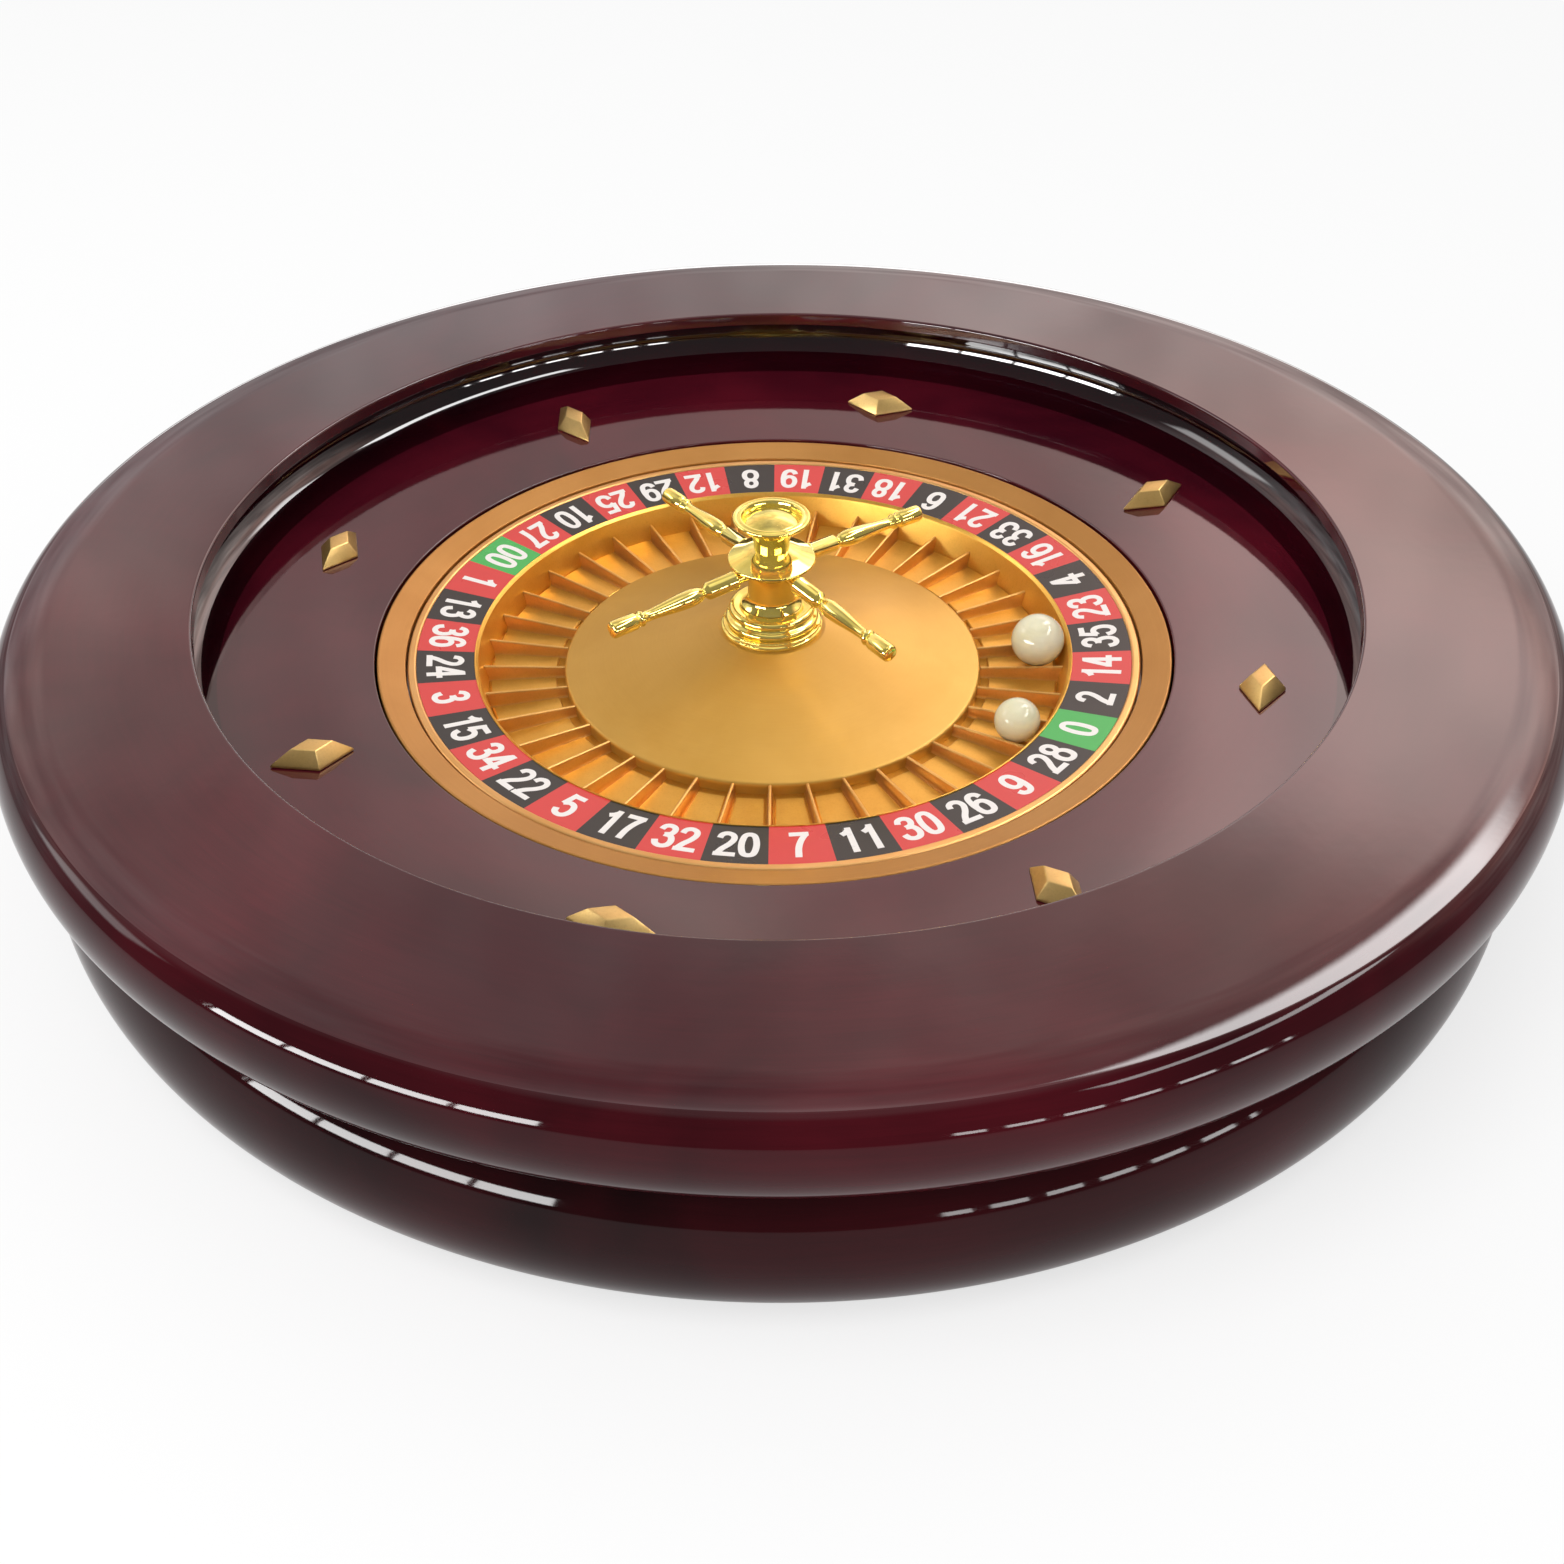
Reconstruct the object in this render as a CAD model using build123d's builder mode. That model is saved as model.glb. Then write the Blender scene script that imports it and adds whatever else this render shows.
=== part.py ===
from build123d import *
import os
from math import asin, atan2, cos, degrees, radians, sin, sqrt, tan

# A double-zero roulette wheel, in millimetres. +Z is up and is the wheel's axis, the origin is
# on the table under the middle of the bowl, and -Y is the side of the wheel that faces the player.

# Bowl: a turned wooden rim with a rounded nose over a second, smaller bulge
bowl_r = 254.0
rim_top_z = 88.0
rim_height = 30.2
rim_width = 64.3
rim_nose = 9.6
lip_thick = 5.0
lip_round = 1.0
base_z = 2.0
bulge_setback = 7.1
bulge_reach = 18.1
bulge_cut = 0.2
neck_depth = 12.9
groove_drop = 6.2
apron_ledge = 10.0
foot_r = 9.0
foot_inset = 16.0

# Ball track, glued up from staves in courses, and the apron inside it
lip_overhang = 10.8
track_cove_r = 12.0
track_back = 5.5
track_toe = 3.8
stave_count = 36
glue_line = 0.05
apron_width = 49.76
apron_slope = 6.5
apron_step = 0.5
apron_thick = 8.5

# Deflectors: eight brass diamonds, every other one turned across the ball's path
deflector_count = 8
deflector_outset = 2.3
deflector_phase = 27.1
deflector_length = 27.0
deflector_width = 14.6
deflector_height = 5.4
deflector_edge = 0.8
deflector_top_share = 0.5
deflector_pin_r = 1.6
deflector_pin_length = 6.0

# Rotor: trim ring, number dial and pockets
rotor_depth = 30.0
rotor_gap = 1.5
trim_width = 9.1
trim_drop = 2.7
trim_thick = 5.3
trim_groove = 0.8
bezel_width = 4.3
bezel_rise = 0.9
bezel_depth = 3.3
dial_width = 16.1
dial_outer_drop = 3.6
dial_slope_drop = 1.8
dial_thick = 0.8
mouth_width = 2.3
mouth_rise = 0.6
pocket_count = 38
pocket_phase = -16.9
pocket_depth = 17.1
pocket_length = 26.5
wall_lean = 3.6
floor_thick = 0.9
fret_thick = 1.1
fret_outer_drop = 11.2
fret_inner_drop = 13.2
pad_rise = 0.9
pad_margin = 0.9
pad_inner_margin = 2.8
pad_outer_margin = 0.6
cone_edge_drop = 13.1
cone_edge_round = 1.4
cone_top_margin = 1.0
cone_rise = 0.3
cone_skin = 2.2
pan_thick = 2.5
pan_flange_width = 19.0

# Spindle, bearings and hub
plate_thick = 10.0
plate_ledge = 14.0
plate_play = 0.3
spindle_r = 6.0
spindle_shoulder_r = 8.0
spindle_flange_r = 28.0
spindle_flange_thick = 4.0
spindle_lift = 6.1
spindle_nut_across = 19.0
spindle_nut_thick = 5.0
nut_pocket_r = 13.0
nut_recess = 0.5
bearing_r = 14.0
bearing_width = 8.0
race_thick = 2.2
bearing_ball_count = 8
bearing_play = 0.02
cage_half_thick = 0.6
cage_play = 0.08
cage_half_width = 2.4
hub_r = 20.0
hub_flange_r = 33.0
hub_flange_thick = 3.5
hub_web = 2.0
hub_neck_r = 10.0
hub_neck_bore_r = 8.8
hub_neck_height = 4.0
clip_r = 8.0
clip_thick = 1.0
clip_gap = 0.3
clip_margin = 1.5
retainer_thick = 1.2
retainer_width = 1.4

# Turret: stepped base, waisted column, arm collar, four spokes and a cup
turret_base_r = 17.4
turret_bead_height = 3.1
turret_step_r = 15.2
turret_step_height = 3.2
turret_upper_r = 13.3
turret_upper_drop = 0.4
turret_base_height = 9.4
turret_seat_r = 10.6
column_foot_r = 10.2
column_waist_r = 8.2
column_top_r = 7.8
column_height = 12.0
collar_r = 14.8
collar_hub_height = 4.3
collar_step = 0.2
collar_rim_height = 1.3
collar_height = 9.2
neck_foot_r = 5.9
neck_r_top = 7.3
neck_height = 7.0
cup_r = 12.9
cup_height = 12.2
cup_rim = 3.1
cup_edge = 1.5
dish_depth = 3.4
stud_r = 3.0
stud_gap = 0.4
arm_count = 4
arm_phase = 33.7
arm_droop = 1.4
arm_shank_r = 1.8
arm_tenon = 3.4
arm_r = 2.65
arm_tip_r = 63.6
arm_raise = 0.2
arm_gap = 0.2

# Balls
large_ball_r = 9.0
small_ball_r = 7.5
ball_setback = 7.2
ball_play = 0.25
large_ball_pocket = 37
small_ball_pocket = 2

# Heights and radii that follow
slope = radians(apron_slope)
rim_flat_r = bowl_r - rim_nose
rim_under_z = rim_top_z - rim_height
rim_middle_z = rim_top_z - rim_height / 2
lip_r = bowl_r - rim_width
lip_z = rim_top_z - lip_thick
bulge_r = bowl_r - bulge_setback
neck_r = bulge_r - neck_depth
bulge_centre_r = bulge_r - bulge_reach
bulge_half_height = (rim_under_z - groove_drop - base_z + bulge_cut) / 2
bulge_z = rim_under_z - groove_drop - bulge_half_height
track_wall_r = lip_r + lip_overhang
track_out_r = track_wall_r + track_back
cove_centre_r = track_wall_r - track_cove_r
track_in_r = cove_centre_r + track_cove_r * sin(slope) - track_toe
apron_in_r = track_in_r - apron_width
rotor_r = apron_in_r - rotor_gap
rotor_edge_z = rim_top_z - rotor_depth
apron_edge_z = rotor_edge_z + apron_step
apron_under_z = apron_edge_z - apron_thick
stave_pitch = 360 / stave_count
deflector_ring_r = (apron_in_r + track_in_r) / 2 + deflector_outset
cavity_r = track_in_r - apron_ledge
plate_r = cavity_r + plate_ledge
plate_top_z = base_z + plate_thick
foot_ring_r = plate_r + foot_inset

trim_in_r = rotor_r - trim_width
bezel_r = trim_in_r - trim_groove
dial_r = bezel_r - bezel_width
dial_in_r = dial_r - dial_width
mouth_r = dial_in_r - mouth_width
dial_z = rotor_edge_z - dial_outer_drop
dial_in_z = dial_z - dial_slope_drop
mouth_z = dial_in_z + mouth_rise
floor_z = rotor_edge_z - pocket_depth
wall_foot_r = mouth_r - wall_lean
flange_top_z = rotor_edge_z - trim_thick - trim_drop
pan_top_z = floor_z - floor_thick
pan_z = pan_top_z - pan_thick
cone_r = wall_foot_r - pocket_length
cone_top_r = turret_base_r + cone_top_margin
cone_edge_z = rotor_edge_z - cone_edge_drop
cone_top_z = rotor_edge_z + cone_rise
cone_under_z = cone_top_z - cone_skin
pocket_angle = 360 / pocket_count
ball_seat_r = wall_foot_r - ball_setback

bearing_low_z = plate_top_z + spindle_flange_thick + spindle_lift
bearing_top_z = cone_under_z - hub_web
race_in_r = spindle_r + race_thick
race_out_r = bearing_r - race_thick
bearing_ball_r = (race_out_r - race_in_r) / 2 - bearing_play
bearing_pitch_r = (race_out_r + race_in_r) / 2
hub_bottom_z = bearing_low_z - retainer_thick
spindle_top_z = bearing_top_z + clip_gap + clip_thick + clip_margin
neck_top_z = cone_top_z + hub_neck_height

turret_step_z = cone_top_z + turret_bead_height
column_z = cone_top_z + turret_base_height
collar_z = column_z + column_height
cup_z = collar_z + collar_height
stud_foot_z = neck_top_z + stud_gap
arm_root_z = collar_z + collar_hub_height / 2 + arm_raise
arm_start = collar_r + arm_gap
collar_hub_r = column_top_r + collar_step


def apron_height(radius):
    """Height of the apron's cone at a radius."""
    return apron_edge_z + (radius - apron_in_r) * tan(slope)


def keep(piece, label):
    """Label a finished piece and write it to its own file."""
    piece.part.label = label
    export_step(piece.part, f"parts/{label}.step")


def turned(outline, rounds=()):
    """A piece turned about the wheel's axis from its (radius, height) outline."""
    with BuildPart() as turning:
        with BuildSketch(Plane.XZ) as section:
            with BuildLine():
                Polyline(*outline, close=True)
            make_face()
            for corner, radius in rounds:
                fillet(section.vertices().sort_by_distance((*corner, 0))[0], radius)
        revolve(axis=Axis.Z)
    return turning


def pocket_direction(step):
    """Angle of a radial line through the fret after so many pockets, clockwise from the first."""
    return pocket_phase - step * pocket_angle


def radial_plane(angle):
    """Upright plane through the axis, with x along the radius and y up."""
    turn = radians(angle)
    return Plane(origin=(0, 0, 0), x_dir=(cos(turn), sin(turn), 0), z_dir=(sin(turn), -cos(turn), 0))


os.makedirs("parts", exist_ok=True)

# Rim: a flat top board with the lip over the ball track, on a ring that has the rest of the nose
lip_angle = degrees(asin((lip_z - rim_middle_z) / (rim_height / 2)))
with BuildPart() as rim_top:
    with BuildSketch(Plane.XZ) as section:
        with BuildLine():
            shoulder = EllipticalCenterArc(
                (rim_flat_r, rim_middle_z),
                rim_nose,
                rim_height / 2,
                start_angle=lip_angle,
                arc_size=90 - lip_angle,
            )
            Polyline(shoulder @ 1, (lip_r, rim_top_z), (lip_r, lip_z), shoulder @ 0)
        make_face()
        fillet(section.vertices().sort_by_distance((lip_r, rim_top_z, 0))[0], lip_round)
    revolve(axis=Axis.Z)
keep(rim_top, "rim_top")

with BuildPart() as rim_ring:
    with BuildSketch(Plane.XZ):
        with BuildLine():
            nose = EllipticalCenterArc(
                (rim_flat_r, rim_middle_z),
                rim_nose,
                rim_height / 2,
                start_angle=-90,
                arc_size=lip_angle + 90,
            )
            Polyline(nose @ 1, (track_out_r, lip_z), (track_out_r, rim_under_z), nose @ 0)
        make_face()
    revolve(axis=Axis.Z)
keep(rim_ring, "rim_ring")

# Ball track: a cove that rises from the apron and an upright wall from there to the lip. It is
# glued up from staves in three courses, whose end joints are staggered by half a stave.
cove_centre_z = apron_height(cove_centre_r) + track_cove_r / cos(slope)


def cove_point(angle):
    """Point of the cove's arc, from minus 90 (level) to 0 (upright)."""
    return (
        cove_centre_r + track_cove_r * cos(radians(angle)),
        cove_centre_z + track_cove_r * sin(radians(angle)),
    )


cove_low = apron_slope - 90
cove_half = cove_low / 2
toe = (track_in_r, apron_height(track_in_r))
stave_turn = stave_pitch - degrees(glue_line / track_wall_r)

with BuildPart() as ball_track:
    for number in range(stave_count):
        with BuildSketch(radial_plane(number * stave_pitch)):
            with BuildLine():
                ThreePointArc(
                    cove_point(cove_low), cove_point((cove_low + cove_half) / 2), cove_point(cove_half)
                )
                Polyline(
                    cove_point(cove_half),
                    (track_out_r, cove_point(cove_half)[1]),
                    (track_out_r, rim_under_z),
                    (track_in_r, rim_under_z),
                    toe,
                    cove_point(cove_low),
                )
            make_face()
        revolve(axis=Axis.Z, revolution_arc=stave_turn)
keep(ball_track, "ball_track")

with BuildPart() as track_wall:
    for number in range(stave_count):
        with BuildSketch(radial_plane((number + 0.5) * stave_pitch)):
            with BuildLine():
                ThreePointArc(cove_point(cove_half), cove_point(cove_half / 2), cove_point(0))
                Polyline(
                    cove_point(0),
                    (track_out_r, cove_centre_z),
                    (track_out_r, cove_point(cove_half)[1]),
                    cove_point(cove_half),
                )
            make_face()
        revolve(axis=Axis.Z, revolution_arc=stave_turn)
        with BuildSketch(radial_plane(number * stave_pitch)):
            with BuildLine():
                Polyline(
                    (track_wall_r, cove_centre_z + glue_line),
                    (track_out_r, cove_centre_z + glue_line),
                    (track_out_r, lip_z),
                    (track_wall_r, lip_z),
                    close=True,
                )
            make_face()
        revolve(axis=Axis.Z, revolution_arc=stave_turn)
keep(track_wall, "track_wall")

# Bowl body: the lower bulge, with a ledge for the apron and a rebate for the base plate
bulge_top_angle = degrees(asin(sqrt(1 - ((neck_r - bulge_centre_r) / bulge_reach) ** 2)))
bulge_low_angle = degrees(asin((base_z - bulge_z) / bulge_half_height))
with BuildPart() as bowl_body:
    with BuildSketch(Plane.XZ):
        with BuildLine():
            bulge = EllipticalCenterArc(
                (bulge_centre_r, bulge_z),
                bulge_reach,
                bulge_half_height,
                start_angle=bulge_low_angle,
                arc_size=bulge_top_angle - bulge_low_angle,
            )
            Polyline(
                bulge @ 1,
                (neck_r, rim_under_z),
                (track_in_r, rim_under_z),
                (track_in_r, apron_under_z),
                (cavity_r, apron_under_z),
                (cavity_r, plate_top_z),
                (plate_r + plate_play, plate_top_z),
                (plate_r + plate_play, base_z),
                bulge @ 0,
            )
        make_face()
    revolve(axis=Axis.Z)
keep(bowl_body, "bowl_body")

# Deflector seats: planes on the apron's cone, their x along the diamond's long axis
deflector_seats = []
for number in range(deflector_count):
    turn = radians(deflector_phase + number * 360 / deflector_count)
    outward = Vector(cos(turn), sin(turn), 0)
    across = Vector(-sin(turn), cos(turn), 0)
    uphill = outward * cos(slope) + Vector(0, 0, sin(slope))
    seat = outward * deflector_ring_r + Vector(0, 0, apron_height(deflector_ring_r) + 0.1)
    long_axis = uphill if number % 2 == 0 else across
    deflector_seats.append(Plane(origin=seat, x_dir=long_axis, z_dir=uphill.cross(across)))

# Apron: the sloping ring between the ball track and the rotor
with BuildPart() as apron:
    with BuildSketch(Plane.XZ):
        with BuildLine():
            Polyline(
                (apron_in_r, apron_under_z),
                (track_in_r, apron_under_z),
                (track_in_r, apron_height(track_in_r)),
                (apron_in_r, apron_edge_z),
                close=True,
            )
        make_face()
    revolve(axis=Axis.Z)
    for seat in deflector_seats:
        with BuildSketch(seat.offset(-deflector_pin_length)):
            Circle(deflector_pin_r)
        extrude(amount=deflector_pin_length + 1, mode=Mode.SUBTRACT)
keep(apron, "apron")

# Deflectors: a diamond with a low edge, tapered to a flat top, on its pin
for number, seat in enumerate(deflector_seats):
    with BuildPart() as deflector:
        for height, share in ((deflector_edge, 1), (deflector_height, deflector_top_share)):
            with BuildSketch(seat.offset(height)):
                with BuildLine():
                    Polyline(
                        (deflector_length / 2 * share, 0),
                        (0, deflector_width / 2 * share),
                        (-deflector_length / 2 * share, 0),
                        (0, -deflector_width / 2 * share),
                        close=True,
                    )
                make_face()
        loft()
        extrude(deflector.faces().sort_by(Axis(seat.origin, seat.z_dir))[0], amount=deflector_edge)
        with BuildSketch(seat.offset(-deflector_pin_length)):
            Circle(deflector_pin_r)
        extrude(amount=deflector_pin_length + deflector_edge / 2)
    keep(deflector, f"deflector_{number + 1}")

# Base plate with its nut pocket, and the four feet
keep(
    turned(
        [
            (spindle_r, plate_top_z),
            (plate_r, plate_top_z),
            (plate_r, base_z),
            (nut_pocket_r, base_z),
            (nut_pocket_r, base_z + nut_recess + spindle_nut_thick),
            (spindle_r, base_z + nut_recess + spindle_nut_thick),
        ],
    ),
    "base_plate",
)
for number, at in enumerate(PolarLocations(foot_ring_r, 4, 45).locations):
    with BuildPart() as foot_pad:
        with BuildSketch(Plane(origin=(at.position.X, at.position.Y, 0))):
            Circle(foot_r)
        extrude(amount=base_z)
    keep(foot_pad, f"foot_{number + 1}")

# Spindle, its nut, and what the bearings' inner races sit between
nut_top_z = base_z + nut_recess + spindle_nut_thick
keep(
    turned(
        [
            (0, base_z + nut_recess),
            (spindle_r, base_z + nut_recess),
            (spindle_r, plate_top_z),
            (spindle_flange_r, plate_top_z),
            (spindle_flange_r, plate_top_z + spindle_flange_thick),
            (spindle_shoulder_r, plate_top_z + spindle_flange_thick),
            (spindle_shoulder_r, bearing_low_z),
            (spindle_r, bearing_low_z),
            (spindle_r, spindle_top_z),
            (0, spindle_top_z),
        ],
    ),
    "spindle",
)
with BuildPart() as spindle_nut:
    with BuildSketch(Plane.XY.offset(base_z + nut_recess)):
        RegularPolygon(spindle_nut_across / 2, 6, major_radius=False)
        Circle(spindle_r, mode=Mode.SUBTRACT)
    extrude(amount=spindle_nut_thick)
keep(spindle_nut, "spindle_nut")


def ring(inner_r, outer_r, low_z, high_z):
    """A plain turned ring."""
    return turned([(inner_r, low_z), (outer_r, low_z), (outer_r, high_z), (inner_r, high_z)])


spacer_z = bearing_low_z + bearing_width
upper_bearing_z = bearing_top_z - bearing_width
for place, low_z in (("lower", bearing_low_z), ("upper", upper_bearing_z)):
    keep(ring(spindle_r, race_in_r, low_z, low_z + bearing_width), f"{place}_inner_race")
    keep(ring(race_out_r, bearing_r, low_z, low_z + bearing_width), f"{place}_outer_race")
    middle = Plane.XY.offset(low_z + bearing_width / 2)
    with BuildPart() as cage:
        with BuildSketch(middle.offset(-cage_half_width)):
            Circle(bearing_pitch_r + cage_half_thick)
            Circle(bearing_pitch_r - cage_half_thick, mode=Mode.SUBTRACT)
        extrude(amount=2 * cage_half_width)
        with Locations(middle):
            with PolarLocations(bearing_pitch_r, bearing_ball_count):
                Cylinder(
                    bearing_ball_r + cage_play,
                    4 * cage_half_thick,
                    rotation=(0, 90, 0),
                    mode=Mode.SUBTRACT,
                )
    keep(cage, f"{place}_cage")
    with BuildPart() as bearing_balls:
        with Locations(middle):
            with PolarLocations(bearing_pitch_r, bearing_ball_count):
                Sphere(bearing_ball_r)
    keep(bearing_balls, f"{place}_bearing_balls")
keep(ring(spindle_r, spindle_shoulder_r, spacer_z, upper_bearing_z), "inner_spacer")
keep(ring(bearing_r - retainer_width, bearing_r, spacer_z, upper_bearing_z), "outer_spacer")
keep(ring(bearing_r - retainer_width, bearing_r, hub_bottom_z, bearing_low_z), "bearing_retainer")
clip_z = bearing_top_z + clip_gap
keep(ring(spindle_r, clip_r, clip_z, clip_z + clip_thick), "spindle_clip")

# Hub: bearing housing with the pan's flange below and a threaded neck for the turret above
keep(
    turned(
        [
            (bearing_r, hub_bottom_z),
            (hub_r, hub_bottom_z),
            (hub_r, pan_top_z),
            (hub_flange_r, pan_top_z),
            (hub_flange_r, pan_top_z + hub_flange_thick),
            (hub_r, pan_top_z + hub_flange_thick),
            (hub_r, cone_under_z),
            (hub_neck_r, cone_under_z),
            (hub_neck_r, neck_top_z),
            (hub_neck_bore_r, neck_top_z),
            (hub_neck_bore_r, bearing_top_z),
            (bearing_r, bearing_top_z),
        ],
    ),
    "rotor_hub",
)

# Pan: the dished plate that carries the pockets, the bezel and the trim ring
flange_in_r = rotor_r - pan_flange_width
keep(
    turned(
        [
            (hub_r, pan_z),
            (dial_in_r + pan_thick / 2, pan_z),
            (flange_in_r + pan_thick / 2, flange_top_z - pan_thick),
            (rotor_r, flange_top_z - pan_thick),
            (rotor_r, flange_top_z),
            (flange_in_r, flange_top_z),
            (dial_in_r, pan_top_z),
            (hub_r, pan_top_z),
        ],
    ),
    "rotor_pan",
)
keep(
    turned(
        [
            (trim_in_r, flange_top_z),
            (rotor_r, flange_top_z),
            (rotor_r, rotor_edge_z),
            (trim_in_r, rotor_edge_z - trim_drop),
        ],
        [((rotor_r, rotor_edge_z), 0.6)],
    ),
    "trim_ring",
)
bezel_low_z = dial_in_z - dial_thick - bezel_depth
bezel_seat_r = dial_in_r + (flange_in_r - dial_in_r) * (bezel_low_z - pan_top_z) / (flange_top_z - pan_top_z)
keep(
    turned(
        [
            (dial_in_r, bezel_low_z),
            (bezel_seat_r, bezel_low_z),
            (flange_in_r, flange_top_z),
            (bezel_r, flange_top_z),
            (bezel_r, dial_z + bezel_rise),
            (dial_r, dial_z + bezel_rise),
            (dial_r, dial_z - dial_thick),
            (dial_in_r, dial_in_z - dial_thick),
        ],
        [((bezel_r, dial_z + bezel_rise), 1.2), ((dial_r, dial_z + bezel_rise), 0.8)],
    ),
    "bezel_ring",
)
keep(
    turned(
        [
            (dial_in_r, dial_in_z - dial_thick),
            (dial_r, dial_z - dial_thick),
            (dial_r, dial_z),
            (dial_in_r, dial_in_z),
        ],
    ),
    "number_dial",
)
keep(ring(cone_r, dial_in_r, pan_top_z, floor_z), "pocket_floor")
keep(
    turned(
        [
            (wall_foot_r, floor_z),
            (dial_in_r, floor_z),
            (dial_in_r, mouth_z),
            (mouth_r, mouth_z),
        ],
        [((mouth_r, mouth_z), 0.9)],
    ),
    "pocket_wall",
)


def wall_radius(height):
    """Radius of the pockets' leaning outer wall at a height."""
    return wall_foot_r + wall_lean * (height - floor_z) / (mouth_z - floor_z)


# Frets between the pockets, and the raised pad on each pocket's floor
fret_outer_z = rotor_edge_z - fret_outer_drop
fret_inner_z = rotor_edge_z - fret_inner_drop
fret_play = 0.01
with BuildPart() as pocket_frets:
    for step in range(pocket_count):
        with BuildSketch(radial_plane(pocket_direction(step))):
            with BuildLine():
                Polyline(
                    (cone_r, floor_z),
                    (wall_foot_r - fret_play, floor_z),
                    (wall_radius(fret_outer_z) - fret_play, fret_outer_z),
                    (cone_r, fret_inner_z),
                    close=True,
                )
            make_face()
        extrude(amount=fret_thick / 2, both=True)
keep(pocket_frets, "pocket_frets")

pad_inner_r = cone_r + pad_inner_margin
pad_outer_r = wall_foot_r - pad_outer_margin
half_pitch = tan(radians(pocket_angle / 2))
pad_inner_half = pad_inner_r * half_pitch - fret_thick / 2 - pad_margin
pad_outer_half = pad_outer_r * half_pitch - fret_thick / 2 - pad_margin
with BuildPart() as pocket_pads:
    for step in range(pocket_count):
        turn = radians(pocket_direction(step + 0.5))
        with BuildSketch(Plane(origin=(0, 0, floor_z), x_dir=(cos(turn), sin(turn), 0))):
            with BuildLine():
                Polyline(
                    (pad_inner_r, -pad_inner_half),
                    (pad_outer_r, -pad_outer_half),
                    (pad_outer_r, pad_outer_half),
                    (pad_inner_r, pad_inner_half),
                    close=True,
                )
            make_face()
        extrude(amount=pad_rise)
keep(pocket_pads, "pocket_pads")

# Cone: the spun cover over the hub, turned down into the pockets at its edge
cone_fall = (cone_top_z - cone_edge_z) / (cone_r - cone_top_r)
cone_skirt_r = cone_r - cone_skin
keep(
    turned(
        [
            (hub_neck_r, cone_under_z),
            (hub_r, cone_under_z),
            (cone_skirt_r, cone_top_z - (cone_skirt_r - cone_top_r) * cone_fall - cone_skin),
            (cone_skirt_r, pan_top_z),
            (cone_r, pan_top_z),
            (cone_r, cone_edge_z),
            (cone_top_r, cone_top_z),
            (hub_neck_r, cone_top_z),
        ],
        [((cone_r, cone_edge_z), cone_edge_round)],
    ),
    "rotor_cone",
)

# Turret base: a flange and two beads, one on the other, under the column
step_top_z = turret_step_z + turret_step_height
keep(
    turned(
        [
            (hub_neck_r, cone_top_z),
            (turret_base_r, cone_top_z),
            (turret_base_r, turret_step_z),
            (turret_step_r, turret_step_z),
            (turret_step_r, step_top_z),
            (turret_upper_r, step_top_z),
            (turret_upper_r, column_z - turret_upper_drop),
            (turret_seat_r, column_z),
            (stud_r, column_z),
            (stud_r, stud_foot_z),
            (hub_neck_r, stud_foot_z),
        ],
        [
            ((turret_base_r, turret_step_z), 1.3),
            ((turret_step_r, step_top_z), 1.4),
            ((turret_upper_r, column_z - turret_upper_drop), 1.1),
        ],
    ),
    "turret_base",
)

# Column: hollowed towards the top, with a small flared foot
with BuildPart() as turret_column:
    with BuildSketch(Plane.XZ):
        with BuildLine():
            Polyline(
                (column_top_r, collar_z),
                (stud_r, collar_z),
                (stud_r, column_z),
                (column_foot_r, column_z),
                (column_foot_r, column_z + 0.8),
            )
            ThreePointArc(
                (column_foot_r, column_z + 0.8),
                (column_waist_r, column_z + column_height / 2),
                (column_top_r, collar_z),
            )
        make_face()
    revolve(axis=Axis.Z)
keep(turret_column, "turret_column")

# Arms: turned spokes with a plain root, a vase, a bead and a plain tip
arm_planes = []
for number in range(arm_count):
    turn = radians(arm_phase + number * 360 / arm_count)
    droop = radians(arm_droop)
    arm_planes.append(
        Plane(
            origin=(0, 0, arm_root_z),
            x_dir=(cos(turn) * cos(droop), sin(turn) * cos(droop), -sin(droop)),
            z_dir=(sin(turn), -cos(turn), 0),
        )
    )

arm_span = arm_tip_r - arm_start
neck_at = arm_start + 0.26 * arm_span
vase_at = arm_start + 0.345 * arm_span
waist_at = arm_start + 0.70 * arm_span
bead_at = arm_start + 0.755 * arm_span
tip_at = arm_start + 0.79 * arm_span
for number, plane in enumerate(arm_planes):
    with BuildPart() as arm:
        with BuildSketch(plane):
            with BuildLine():
                Polyline(
                    (waist_at, arm_r * 0.66),
                    (bead_at - 0.7, arm_r * 0.72),
                    (bead_at, arm_r * 0.92),
                    (bead_at + 0.7, arm_r * 0.72),
                    (tip_at, arm_r * 0.74),
                    (tip_at + 0.8, arm_r),
                    (arm_tip_r - 0.5, arm_r),
                    (arm_tip_r, arm_r - 0.5),
                    (arm_tip_r, 0),
                    (collar_hub_r - arm_tenon, 0),
                    (collar_hub_r - arm_tenon, arm_shank_r),
                    (arm_start, arm_shank_r),
                    (arm_start, arm_r * 1.08),
                    (arm_start + 0.9, arm_r * 1.08),
                    (arm_start + 0.9, arm_r),
                    (neck_at - 1.2, arm_r),
                    (neck_at, arm_r * 0.54),
                    (neck_at + 1.2, arm_r * 0.54),
                    (neck_at + 1.8, arm_r * 0.84),
                )
                ThreePointArc(
                    (neck_at + 1.8, arm_r * 0.84),
                    (vase_at, arm_r),
                    (waist_at, arm_r * 0.66),
                )
            make_face()
        revolve(axis=Axis(plane.origin, plane.x_dir))
    keep(arm, f"arm_{number + 1}")

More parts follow.
